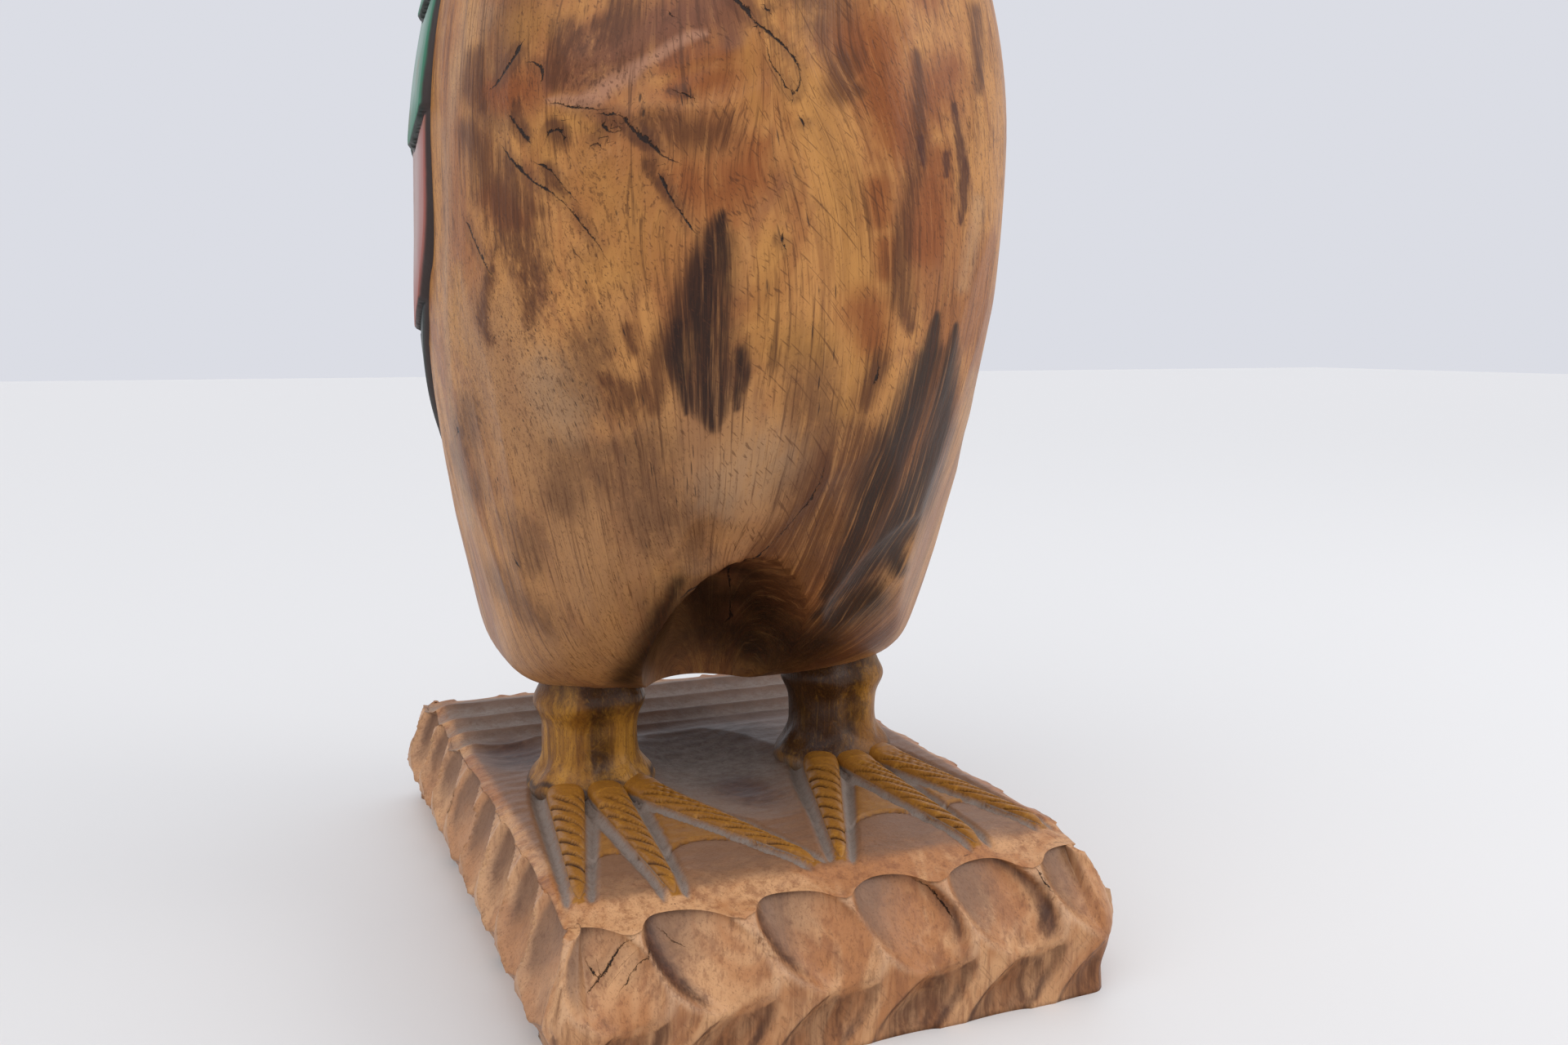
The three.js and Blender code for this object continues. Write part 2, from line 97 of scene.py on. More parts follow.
# Gentle unevenness: the sum of sin(place . direction + phase) over random seeded directions, divided down.
def unevenness(points, wavelength, seed):
    rng = np.random.default_rng(seed)
    total = 0
    for _ in range(waves["count"]):
        direction = rng.normal(size=3)
        direction *= 2 * np.pi / wavelength / np.linalg.norm(direction) * rng.uniform(*waves["spread"])
        total = total + np.sin(points @ direction + rng.uniform(0, waves["lastPhase"]))
    return total / waves["divisor"]


# An sRGB hex colour as linear RGBA: v / 12.92 in the darks, and ((v + 0.055) / 1.055)^2.4 above them.
def colour(code):
    values = [int(code[i : i + 2], 16) / 255 for i in (1, 3, 5)]
    return tuple(v / 12.92 if v <= 0.04045 else ((v + 0.055) / 1.055) ** 2.4 for v in values) + (1.0,)


# A mesh piece from points in millimetres, four-sided and three-sided faces, and
# for each field one number per point. Where a piece has no grain of its own,
# its grain runs straight up: the grain's place is the point's x and y.
def addPiece(name, points, quads, triangles, fields, material, slot="waxed_wood"):
    mesh = bpy.data.meshes.new(name)
    corners = np.concatenate([quads.ravel(), triangles.ravel()]).astype(np.int32)
    sizes = np.concatenate([np.full(len(quads), 4), np.full(len(triangles), 3)]).astype(np.int32)
    mesh.vertices.add(len(points))
    mesh.vertices.foreach_set("co", (points * mm).astype(np.float32).ravel())
    mesh.loops.add(len(corners))
    mesh.loops.foreach_set("vertex_index", corners)
    mesh.polygons.add(len(sizes))
    mesh.polygons.foreach_set("loop_start", (np.cumsum(sizes) - sizes).astype(np.int32))
    mesh.polygons.foreach_set("loop_total", sizes)
    mesh.update(calc_edges=True)
    mesh.validate()
    mesh.shade_smooth()
    fields.setdefault("grainX", points[:, 0] * mm)
    fields.setdefault("grainY", points[:, 1] * mm)
    for field, values in fields.items():
        layer = mesh.attributes.new(field, "FLOAT", "POINT")
        layer.data.foreach_set("value", np.broadcast_to(values, len(points)).astype(np.float32))
    mesh.materials.append(material)
    piece = bpy.data.objects.new(name, mesh)
    bpy.context.scene.collection.objects.link(piece)
    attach(piece, "root")
    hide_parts("carved_swan")
    print(name, int(sizes.sum() - 2 * len(sizes)), "triangles")


# Faces of a skin through rings of equal count, closed at both ends on one point each.
# Points are numbered ring by ring, and then come the first and the last pole.
def ringFaces(rows, columns):
    row, column = np.meshgrid(np.arange(rows - 1), np.arange(columns), indexing="ij")
    following = (column + 1) % columns
    a, b = row * columns + column, row * columns + following
    quads = np.stack([a, b, b + columns, a + columns], -1).reshape(-1, 4)
    first, last = np.arange(columns), np.arange(columns) + (rows - 1) * columns
    poles = rows * columns
    start = np.stack([np.roll(first, -1), first, np.full(columns, poles)], -1)
    end = np.stack([last, np.roll(last, -1), np.full(columns, poles + 1)], -1)
    return quads, np.concatenate([start, end])


# Adds the two poles, the mean of the first ring and the mean of the last, to a grid of rings.
def withPoles(rings):
    return np.concatenate([rings.reshape(-1, 3), rings[0].mean(0)[None], rings[-1].mean(0)[None]])


# A closed piece from a grid of rings. Each field is a number for each of the grid's points,
# or for each of its rings, or one for all, and a pole takes the mean of its ring.
def addRings(name, rings, fields, material):
    for field, values in fields.items():
        values = np.broadcast_to(values, rings.shape[:2])
        fields[field] = np.concatenate([values.ravel(), [values[0].mean(), values[-1].mean()]])
    addPiece(name, withPoles(rings), *ringFaces(*rings.shape[:2]), fields, material)


# One shader node: its settings by name, and its sockets by number or name, each linked or given a value.
def addNode(tree, kind, sockets=None, **settings):
    node = tree.nodes.new("ShaderNode" + kind)
    for name, value in settings.items():
        setattr(node, name, value)
    for key, value in (sockets or {}).items():
        if isinstance(value, bpy.types.NodeSocket):
            tree.links.new(value, node.inputs[key])
        else:
            node.inputs[key].default_value = value
    return node


# Lays a tint over a colour where a value rises from low to high.
def tintWhere(tree, under, tint, value, low, high, strength=1.0):
    cover = addNode(
        tree,
        "MapRange",
        {"Value": value, "From Min": low, "From Max": high, "To Max": strength},
        interpolation_type="SMOOTHSTEP",
    ).outputs[0]
    return addNode(tree, "Mix", {0: cover, 6: under, 7: colour(tint)}, data_type="RGBA").outputs[2]


# Lays a stain over a colour where a field on the mesh passes half. A noise swells and thins the field,
# which frays the stain's edge and leaves streaks inside it: field * (1 - fray + 2 * fray * noise).
def stainOver(tree, under, stain, noises):
    field, tint, noise, fray, softness, strength = stain
    place = addNode(tree, "Attribute", attribute_name=field).outputs["Fac"]
    sockets = {0: noises[noise], 1: 2 * fray, 2: 1 - fray}
    swelling = addNode(tree, "Math", sockets, operation="MULTIPLY_ADD").outputs[0]
    frayed = addNode(tree, "Math", {0: swelling, 1: place}, operation="MULTIPLY").outputs[0]
    return tintWhere(tree, under, tint, frayed, 0.5 - softness, 0.5 + softness, strength)


crackLine = {
    # how far a coarse and a fine noise move the line, in millimetres
    "wander": {"mottle": 2.6, "grit": 1.4},
    # the noise times the first plus the second swells and closes the crack
    "swell": (3.4, -1.1),
    "near": (0.02, 0.9),  # half-widths between which the dark halo comes in
}


# How far inside a crack a point lies, in millimetres, and 1 near it. The mesh
# holds the signed distance to the crack's line and its half-width: half-width *
# swelling noise - |distance + wandering noises - half their reach|.
def crackDepth(tree, across, half, noises):
    moved = addNode(tree, "Attribute", attribute_name=across).outputs["Fac"]
    width = addNode(tree, "Attribute", attribute_name=half).outputs["Fac"]
    for noise, reach in crackLine["wander"].items():
        sockets = {0: noises[noise], 1: reach, 2: moved}
        moved = addNode(tree, "Math", sockets, operation="MULTIPLY_ADD").outputs[0]
    middle = sum(crackLine["wander"].values()) / 2
    moved = addNode(tree, "Math", {0: moved, 1: middle}, operation="SUBTRACT").outputs[0]
    distance = addNode(tree, "Math", {0: moved}, operation="ABSOLUTE").outputs[0]
    sockets = {0: noises["mottle"], 1: crackLine["swell"][0], 2: crackLine["swell"][1]}
    swelling = addNode(tree, "Math", sockets, operation="MULTIPLY_ADD").outputs[0]
    wide = addNode(tree, "Math", {0: width, 1: swelling}, operation="MULTIPLY").outputs[0]
    inside = addNode(tree, "Math", {0: wide, 1: distance}, operation="SUBTRACT").outputs[0]
    low, high = crackLine["near"]
    near = addNode(tree, "MapRange", {"Value": width, "From Min": low, "From Max": high}).outputs[0]
    return inside, near


# The materials.

wood = {
    # each noise: what it lies on, width and length in millimetres, lean in degrees, detail and distortion
    "noises": {
        "broad": ("alongGrain", 48, 110, 4, 4.0, 0.6),
        "cloud": ("place", 24, 46, 12, 5.0, 1.0),
        "brush": ("alongGrain", 5, 90, 0, 3.0, 0.2),
        "fibre": ("alongGrain", 1.0, 42, 0, 3.0, 0),
        "rasp": ("alongGrain", 2.0, 60, 2, 4.0, 0),
        "scratch": ("alongGrain", 0.7, 26, -38, 0.5, 0),
        "mottle": ("place", 5, 7, 0, 4.0, 0.4),
        "grit": ("place", 1.3, 1.8, 0, 2.0, 0),
    },
    "noiseRoughness": 0.72,
    "tornSpread": 0.75,
    # tints under the stains and over them: colour and strength in
    # the look, noise, where it begins and is full
    "under": [
        ("deep", "deepStrength", "broad", 0.42, 0.58),
        ("band", "bandStrength", "brush", 0.46, 0.66),
        ("smokeAndHollowShade", "smokeStrength", "cloud", 0.5, 0.68),
    ],
    "over": [
        ("sheen", "sheenStrength", "rasp", 0.46, 0.25),
        ("line", "lineStrength", "rasp", 0.54, 0.66),
        ("line", "lineStrength", "fibre", 0.56, 0.67),
        ("line", "lineStrength", "scratch", 0.64, 0.74),
        ("line", "gritStrength", "grit", 0.58, 0.68),
    ],
    "poreCloud": 0.9,  # how much a noise bunches the pores, and how much the mesh's field adds to them
    "poreCrowd": 0.55,
    "poreFade": 0.3,
    "poreEdge": (0.26, 0.12),  # share of a cell from its middle where a pore begins and is full
    "haloStrength": 0.45,
    "gapEdge": (-0.05, 0.35),  # millimetres inside a crack where its black begins and is full
    "raspHeight": 1.5,  # as a share of the fibres' height
    "poreHeight": -0.12,
    "crackHeight": -0.9,
    "roughSpread": 0.3,
    "dustRough": 0.4,
    "ior": 1.45,
    "specular": 0.3,
}


# Waxed hardwood, carved, rasped and sanded with the grain and rubbed with brown wax. The eye gets a honey
# brown with darker streaks and short black pores along the grain, a satin sheen, and dark wax left in every
# cut. Tints are laid one over another, each where its noise or its field on the mesh is high.
def waxedWood(name, look):
    material = bpy.data.materials.new(name)
    material.use_nodes = True
    tree = material.node_tree
    tree.nodes.clear()
    place = addNode(tree, "TexCoord").outputs["Object"]
    # grain lines run straight up a piece, whatever its slope:
    # across them lie the two fields, along them the height
    acrossX = addNode(tree, "Attribute", attribute_name="grainX").outputs["Fac"]
    acrossY = addNode(tree, "Attribute", attribute_name="grainY").outputs["Fac"]
    height = addNode(tree, "SeparateXYZ", {0: place}).outputs[2]
    alongGrain = addNode(tree, "CombineXYZ", {0: acrossX, 1: acrossY, 2: height}).outputs[0]

    bases, noises = {"place": place, "alongGrain": alongGrain}, {}
    for noise, (base, wide, long, lean, detail, warp) in wood["noises"].items():
        sockets = {"Vector": bases[base], "Scale": (wide * mm, wide * mm, long * mm)}
        sockets["Rotation"] = (0, np.radians(lean), 0)
        stretched = addNode(tree, "Mapping", sockets, vector_type="TEXTURE").outputs[0]
        sockets = {"Vector": stretched, "Scale": 1.0, "Detail": detail, "Distortion": warp}
        sockets["Roughness"] = wood["noiseRoughness"]
        noises[noise] = addNode(tree, "TexNoise", sockets).outputs[0]
    # two noises added and spread out again about one half, for torn edges
    torn = addNode(tree, "Math", {0: noises["cloud"], 1: noises["rasp"]}, operation="ADD").outputs[0]
    sockets = {0: torn, 1: wood["tornSpread"], 2: 0.5 - wood["tornSpread"]}
    noises["torn"] = addNode(tree, "Math", sockets, operation="MULTIPLY_ADD").outputs[0]

    tone = colour(look["light"])
    for tint, strength, noise, begins, full in wood["under"]:
        tone = tintWhere(tree, tone, look[tint], noises[noise], begins, full, look[strength])
    for stain in look["stains"]:
        tone = stainOver(tree, tone, stain, noises)
    for tint, strength, noise, begins, full in wood["over"]:
        tone = tintWhere(tree, tone, look[tint], noises[noise], begins, full, look[strength])

    # pores: stretched cells with a dark middle, of which a noise and a field on the mesh keep some
    cell = (look["poreGap"] * mm, look["poreGap"] * mm, look["poreLong"] * mm)
    cells = addNode(tree, "Mapping", {"Vector": alongGrain, "Scale": cell}, vector_type="TEXTURE").outputs[0]
    spots = addNode(tree, "TexVoronoi", {"Vector": cells, "Scale": 1.0})
    draw = addNode(tree, "SeparateColor", {0: spots.outputs["Color"]}).outputs[0]
    crowd = addNode(tree, "Attribute", attribute_name="ticks").outputs["Fac"]
    chance = look["poreChance"] - wood["poreCloud"] / 2
    for source, gain in ((noises["cloud"], wood["poreCloud"]), (crowd, wood["poreCrowd"])):
        chance = addNode(tree, "Math", {0: source, 1: gain, 2: chance}, operation="MULTIPLY_ADD").outputs[0]
    kept = addNode(tree, "Math", {0: chance, 1: draw}, operation="SUBTRACT").outputs[0]
    sockets = {"Value": kept, "From Min": 0.0, "From Max": wood["poreFade"]}
    kept = addNode(tree, "MapRange", sockets).outputs[0]
    begins, full = wood["poreEdge"]
    sockets = {"Value": spots.outputs["Distance"], "From Min": begins, "From Max": full}
    pore = addNode(tree, "MapRange", sockets).outputs[0]
    pore = addNode(tree, "Math", {0: pore, 1: kept}, operation="MULTIPLY").outputs[0]
    tone = tintWhere(tree, tone, look["pore"], pore, 0.0, 1.0, look["poreStrength"])

    crack = None
    for line in ("crack", "split"):
        inside, near = crackDepth(tree, line + "Across", line + "Half", noises)
        tone = tintWhere(tree, tone, look["halo"], near, 0.0, 1.0, wood["haloStrength"])
        begins, full = wood["gapEdge"]
        gap = addNode(tree, "MapRange", {"Value": inside, "From Min": begins, "From Max": full}).outputs[0]
        tone = tintWhere(tree, tone, look["gap"], gap, 0.0, 1.0)
        if crack is None:
            crack = gap
        else:
            crack = addNode(tree, "Math", {0: crack, 1: gap}, operation="MAXIMUM").outputs[0]

    # height in millimetres for the bump: fibres and ripples stand up, pores and cracks go in
    low = addNode(tree, "Math", {0: noises["fibre"], 1: look["fibreHeight"]}, operation="MULTIPLY").outputs[0]
    for source, reach in (
        (noises["brush"], look["brushHeight"]),
        (noises["rasp"], look["fibreHeight"] * wood["raspHeight"]),
        (noises["mottle"], look["mottleHeight"]),
        (pore, wood["poreHeight"]),
        (crack, wood["crackHeight"]),
    ):
        low = addNode(tree, "Math", {0: source, 1: reach, 2: low}, operation="MULTIPLY_ADD").outputs[0]
    bump = addNode(tree, "Bump", {"Strength": 1.0, "Distance": mm, "Height": low}).outputs[0]

    dust = addNode(tree, "Attribute", attribute_name="dust").outputs["Fac"]
    sockets = {0: noises["cloud"], 1: wood["roughSpread"], 2: look["rough"] - wood["roughSpread"] / 2}
    satin = addNode(tree, "Math", sockets, operation="MULTIPLY_ADD").outputs[0]
    sockets = {0: dust, 1: wood["dustRough"], 2: satin}
    satin = addNode(tree, "Math", sockets, operation="MULTIPLY_ADD", use_clamp=True).outputs[0]
    sockets = {"Base Color": tone, "Roughness": satin, "Normal": bump}
    sockets.update({"IOR": wood["ior"], "Specular IOR Level": wood["specular"]})
    shader = addNode(tree, "BsdfPrincipled", sockets)
    out = addNode(tree, "OutputMaterial", {0: shader.outputs[0]})
    out.is_active_output = True
    return material


bodyWood = waxedWood(
    "waxedHardwood",
    {
        "light": "#c0864a",
        "deep": "#a26738",
        "deepStrength": 1.0,
        "band": "#7a4826",
        "bandStrength": 0.5,
        "smokeAndHollowShade": "#83543a",
        "smokeStrength": 0.4,
        "line": "#4e2b15",
        "lineStrength": 0.56,
        "gritStrength": 0.35,
        "sheen": "#c09059",
        "sheenStrength": 0.2,
        "halo": "#54301d",
        "gap": "#24140c",
        "pore": "#2a1910",
        "poreGap": 1.3,
        "poreLong": 15,
        "poreChance": 0.16,
        "poreStrength": 0.8,
        "fibreHeight": 0.06,
        "brushHeight": 0.3,
        "mottleHeight": 0.2,
        "rough": 0.4,
        # field, colour, the noise that frays its edge and by how much, softness and strength
        "stains": [
            ("dull", "#a07650", "cloud", 0.6, 0.5, 0.72),
            ("smudge", "#704a2e", "torn", 1.6, 0.5, 0.5),
            ("smudge", "#4f301d", "mottle", 2.0, 0.5, 0.35),
            # pale bleached wood, and a painted highlight along both edges of the breast
            ("paleAndHighlight", "#b99774", "torn", 1.3, 0.5, 0.36),
            ("gold", "#b47e3b", "torn", 1.2, 0.5, 0.45),
            ("russet", "#9c5626", "cloud", 0.8, 0.5, 0.75),
            ("russet", "#6e3818", "rasp", 1.6, 0.5, 0.5),
            ("mauve", "#7d4a34", "torn", 0.8, 0.45, 0.75),
            ("mauve", "#512b1b", "rasp", 1.8, 0.45, 0.4),
            # umber streaks and tool marks, with painted shadow along the crease that runs down to the hollow
            ("umberAndShade", "#784420", "torn", 1.0, 0.5, 0.66),
            ("umberAndShade", "#3d1f0e", "rasp", 2.2, 0.5, 0.55),
            # painted highlight along the lower ridge of the flat cut on the breast
            ("lip", "#b18064", "cloud", 0.6, 0.45, 0.7),
            # painted shade over dark wood in the hollow between the thighs
            ("smokeAndHollowShade", "#211109", "cloud", 0.4, 0.48, 0.96),
            ("redstreak", "#4a2418", "fibre", 1.0, 0.3, 0.85),
            ("ebony", "#53341f", "torn", 0.9, 0.5, 0.7),
            ("ebony", "#231b17", "rasp", 1.8, 0.45, 0.85),
            ("heart", "#4a2817", "torn", 0.9, 0.5, 0.8),
            ("heart", "#1e0c06", "rasp", 1.9, 0.45, 0.88),
            ("ochre", "#a9741f", "mottle", 0.4, 0.25, 0.9),
            ("blackPaint", "#1b1c1a", "mottle", 0.2, 0.15, 0.95),
        ],
    },
)

# The same wood on the plinth, redder, with yellow stain on
# the feet, grey dust in the cuts, charred spots, painted highlights
# on the ridges, and painted shade in the ovals and under the bird.
plinthWood = waxedWood(
    "waxedPlinthWood",
    {
        "light": "#c7966a",
        "deep": "#ab7348",
        "deepStrength": 1.0,
        "band": "#7f4d30",
        "bandStrength": 0.5,
        "smokeAndHollowShade": "#7a4e37",
        "smokeStrength": 0.4,
        "line": "#5c3823",
        "lineStrength": 0.3,
        "gritStrength": 0.2,
        "sheen": "#cfa582",
        "sheenStrength": 0.05,
        "halo": "#54301d",
        "gap": "#1d110c",
        "pore": "#2e1c14",
        "poreGap": 1.5,
        "poreLong": 9,
        "poreChance": 0.0,
        "poreStrength": 0.6,
        "fibreHeight": 0.05,
        "brushHeight": 0.3,
        "mottleHeight": 0.2,
        "rough": 0.42,
        "stains": [
            # painted highlight on the ridges between the ovals and over the long sides
            ("paintedHighlight", "#c9a27f", "cloud", 0.4, 0.45, 0.75),
            ("shade", "#7a5b46", "cloud", 0.7, 0.5, 0.92),
            # painted shade with dust under the bird
            ("shadeAndDust", "#382e29", "cloud", 0.7, 0.5, 0.85),
            # dark wax in the cuts, and painted shade on the steep walls of the ovals
            ("umberAndShade", "#5c3624", "cloud", 0.7, 0.5, 0.88),
            ("umberAndShade", "#2f1a11", "brush", 1.8, 0.45, 0.65),
            ("ochre", "#b07a29", "cloud", 0.6, 0.42, 0.9),
            ("ochre", "#80501f", "mottle", 2.0, 0.5, 0.6),
            ("notch", "#331b0d", "mottle", 0.5, 0.45, 0.92),
            ("dust", "#8d8279", "mottle", 0.9, 0.45, 0.86),
            ("char", "#1c1613", "mottle", 0.8, 0.3, 0.95),
        ],
    },
)

# The same wood under yellow ochre stain, brushed on thin so that brown shows through it.
legWood = waxedWood(
    "ochreStainedWood",
    {
        "light": "#ab772a",
        "deep": "#84551c",
        "deepStrength": 1.0,
        "band": "#6b421b",
        "bandStrength": 0.7,
        "smokeAndHollowShade": "#402510",
        "smokeStrength": 0.7,
        "line": "#5a3716",
        "lineStrength": 0.5,
        "gritStrength": 0.3,
        "sheen": "#c08c3c",
        "sheenStrength": 0.2,
        "halo": "#54301d",
        "gap": "#1d110c",
        "pore": "#21140b",
        "poreGap": 1.8,
        "poreLong": 8,
        "poreChance": 0.12,
        "poreStrength": 0.7,
        "fibreHeight": 0.1,
        "brushHeight": 0.4,
        "mottleHeight": 0.5,
        "rough": 0.4,
        "stains": [
            # dark wax, and painted shade under the belly and on the legs' facing sides
            ("umberAndShade", "#2e190e", "mottle", 1.0, 0.42, 0.92),
            ("dust", "#8f847b", "mottle", 0.6, 0.35, 0.85),
        ],
    },
)


# Thin flat paint on carved wood, rubbed back and waxed: soft green scales, pink and
# near-black long feathers, each outlined in black. The eye gets colour that is chalky in
# the middle of each feather and deeper at its edge. The tier number on the mesh picks a
# feather's two colours, and the edge's comes in as rim + fray * noise rises.
def paintedFeathers(name, look):
    material = bpy.data.materials.new(name)
    material.use_nodes = True
    tree = material.node_tree
    tree.nodes.clear()
    place = addNode(tree, "TexCoord").outputs["Object"]
    upright = [1 / (side * mm) for side in look["fibre"]]
    stretched = addNode(tree, "Mapping", {"Vector": place, "Scale": upright}).outputs[0]
    fibre = addNode(tree, "TexNoise", {"Vector": stretched, "Scale": 1.0, "Detail": 3.0}).outputs[0]
    sockets = {"Vector": place, "Scale": 1 / (look["rub"] * mm), "Detail": 4.0}
    rubbed = addNode(tree, "TexNoise", sockets).outputs[0]
    rim = addNode(tree, "Attribute", attribute_name="rim").outputs["Fac"]
    rim = addNode(tree, "Math", {0: fibre, 1: look["fray"], 2: rim}, operation="MULTIPLY_ADD").outputs[0]
    tier = addNode(tree, "Attribute", attribute_name="tier").outputs["Fac"]
    tone = None
    for start, middle, edge in look["tiers"]:
        paint = tintWhere(tree, colour(middle), edge, rim, *look["edge"])
        if tone is None:
            tone = paint
            continue
        reached = addNode(tree, "Math", {0: tier, 1: start}, operation="GREATER_THAN").outputs[0]
        tone = addNode(tree, "Mix", {0: reached, 6: tone, 7: paint}, data_type="RGBA").outputs[2]
    tone = tintWhere(tree, tone, look["worn"], rubbed, *look["wear"])
    for stain in look["stains"]:
        tone = stainOver(tree, tone, stain, {"rubbed": rubbed})
    fibreHeight, rubHeight = look["heights"]
    low = addNode(tree, "Math", {0: fibre, 1: fibreHeight}, operation="MULTIPLY").outputs[0]
    low = addNode(tree, "Math", {0: rubbed, 1: rubHeight, 2: low}, operation="MULTIPLY_ADD").outputs[0]
    bump = addNode(tree, "Bump", {"Strength": 1.0, "Distance": mm, "Height": low}).outputs[0]
    shader = addNode(tree, "BsdfPrincipled", {"Base Color": tone, "Roughness": look["rough"], "Normal": bump})
    out = addNode(tree, "OutputMaterial", {0: shader.outputs[0]})
    out.is_active_output = True
    return material


wingPaint = paintedFeathers(
    "rubbedFeatherPaint",
    {
        # tier number passed, colour in the middle of a feather, colour towards its edge
        "tiers": [
            (0, "#3a4a45", "#1f2b28"),
            (0.5, "#b49a94", "#9c5548"),
            (1.5, "#8fa69c", "#2f7458"),
        ],
        "edge": (0.55, 1.15),  # where the edge's colour begins and is full
        "fray": 0.5,
        "worn": "#8d6a48",
        "wear": (0.56, 0.74, 0.35),  # where bare wood begins and is full, and its strength
        "fibre": (2.2, 2.2, 26),  # millimetres of one streak, across and along
        "rub": 14,  # millimetres of one rubbed patch
        "heights": (0.2, 0.25),  # of the streaks and of the rubbed patches
        "rough": 0.46,
        "stains": [
            ("outline", "#161412", "rubbed", 0.3, 0.2, 0.95),
            ("burnt", "#2a1710", "rubbed", 0.3, 0.25, 0.95),
        ],
    },
)

# Black gloss paint on the carved eyes and the bill's knob. The eye gets a wet black with a tight highlight.
gloss = {"black": "#0d0c0b", "worn": "#241d18", "wearScale": 900.0, "rough": 0.2}
eyePaint = bpy.data.materials.new("blackGlossPaint")
eyePaint.use_nodes = True
eyeTree = eyePaint.node_tree
eyeShader = eyeTree.nodes["Principled BSDF"]
eyePlace = addNode(eyeTree, "TexCoord").outputs["Object"]
wearSockets = {"Vector": eyePlace, "Scale": gloss["wearScale"], "Detail": 3.0}
eyeWear = addNode(eyeTree, "TexNoise", wearSockets).outputs[0]
wearSockets = {0: eyeWear, 6: colour(gloss["black"]), 7: colour(gloss["worn"])}
eyeTone = addNode(eyeTree, "Mix", wearSockets, data_type="RGBA").outputs[2]
eyeTree.links.new(eyeTone, eyeShader.inputs["Base Color"])
eyeShader.inputs["Roughness"].default_value = gloss["rough"]
print("materials made")


# The bird's trunk, neck, head and bill: one skin of rings from the underside to the tip of the bill.

bird = {
    "bottom": 109,
    "shoulder": 498,  # height where the neck takes over from the barrel
    "widest": 351,
    "halfWidth": 127,
    "frontDepth": 138,
    "backDepth": 140,
    "sideReach": 364,
    "frontReach": 256,
    "backReach": 290,
    "upperReach": 190,
    "squareness": 2.4,
    "thighSquareness": 3.6,
    "thighTop": 225,
    "axis": -14,
    "axisHeight": 300,
    "axisCurve": 17,
    "axisSpan": 176,
    "sideLean": 3,
    "sideLeanHeight": 242,
    "sideLeanSpan": 60,
    "hemStart": 135,
    "hemInset": 33,
    "hemPower": 3.4,
    "hemFrontShare": 0.2,
    # along the neck: y, z, half-width across and half-depth fore and aft
    "neck": [
        (-32, 536, 60, 64),
        (-50, 578, 48, 51),
        (-54, 628, 41, 43),
        (-42, 682, 37, 39),
        (-34, 730, 35, 37),
        (-44, 772, 36, 38),
        (-74, 795, 38, 38),
        (-106, 792, 37, 35),
        (-132, 777, 29, 26),
        (-152, 764, 22, 17),
        (-178, 749, 21, 11),
        (-198, 738, 17, 8),
        (-207, 733, 10, 5),
        (-210, 731, 4, 2),
    ],
    # flat adze cuts: a point in the cut, the way it faces, and how soft its edge is
    "flats": [
        ((86, -78, 186), (0.7, -0.6, -0.3), 1.6),
        ((-75, -129, 374), (-0.47, -0.82, 0.33), 2.2),
        ((-92, 55, 127), (-0.53, 0.22, -0.82), 1.2),
    ],
    # the hollow between the thighs: middle and radii
    "niche": ((-14, -108, 104), (42, 92, 74)),
    # shallow gouge cuts on the breast: right on the marks' sheet, z,
    # half-width, half-length, degrees leaning right, depth
    "gouges": [
        (54, 184, 17, 50, 40, 4.5),
        (82, 168, 10, 34, 42, 4.0),
        (8, 186, 8, 14, 20, 2.5),
        (-4, 373, 17, 42, 62, 3.2),
        (16, 362, 9, 26, 76, 1.6),
        (-36, 340, 10, 22, 70, 1.2),
        (66, 330, 17, 90, -3, 1.3),
        (100, 330, 16, 100, 2, 1.2),
        (-60, 290, 16, 75, -4, 1.1),
        (-24, 270, 20, 90, -2, 1.0),
        (-84, 230, 12, 70, -8, 1.2),
        (-52, 190, 20, 55, -6, 1.2),
        (-14, 200, 16, 40, 6, 1.0),
        (20, 250, 18, 60, 6, 0.9),
        (-70, 400, 20, 50, 10, 1.2),
        (60, 420, 26, 60, -8, 1.2),
        (-30, 440, 22, 60, 12, 1.2),
    ],
    "grainRadius": 130,
    "neckGrainRadius": 50,
    "grainNarrows": 60,  # how far above the shoulder the grain's cylinder has reached the neck's radius
    "grainUnrolls": (40, 100),  # and where it gives way to plain grain
    "ripple": (0.7, 34, 3),  # depth and wavelength of the uneven skin, and its seed
    "rippleStretch": (1, 1, 0.45),  # how closely the ripples follow one another along x, y and z
    "rippleFrom": (120, 160),
    "firstRing": 0.06,  # size of the smallest ring of the underside, as a share of the hem
    "neckSquareness": 2.1,
    # shares of the neck over which its rings tilt square to it, and over which they turn round
    "neckTilt": (0.05, 0.4),
    "neckRounding": (0, 0.3),
    "flatsFade": 30,  # how far below the shoulder the flat cuts end
    # the bill's stain and its root's black paint, by distance forward; neither reaches lower than the head
    "billFrom": (138, 146),
    "rootFrom": (128, 136),
    "rootTo": (144, 150),
    "rootPaint": 0.9,
    "headFrom": (600, 620),
    "rows": (10, 14, 214, 84),  # underside, hem, barrel, neck and head
    "columns": 302,
    "fineColumns": (250, -98, 88),  # how many columns lie between these two angles from the front
}


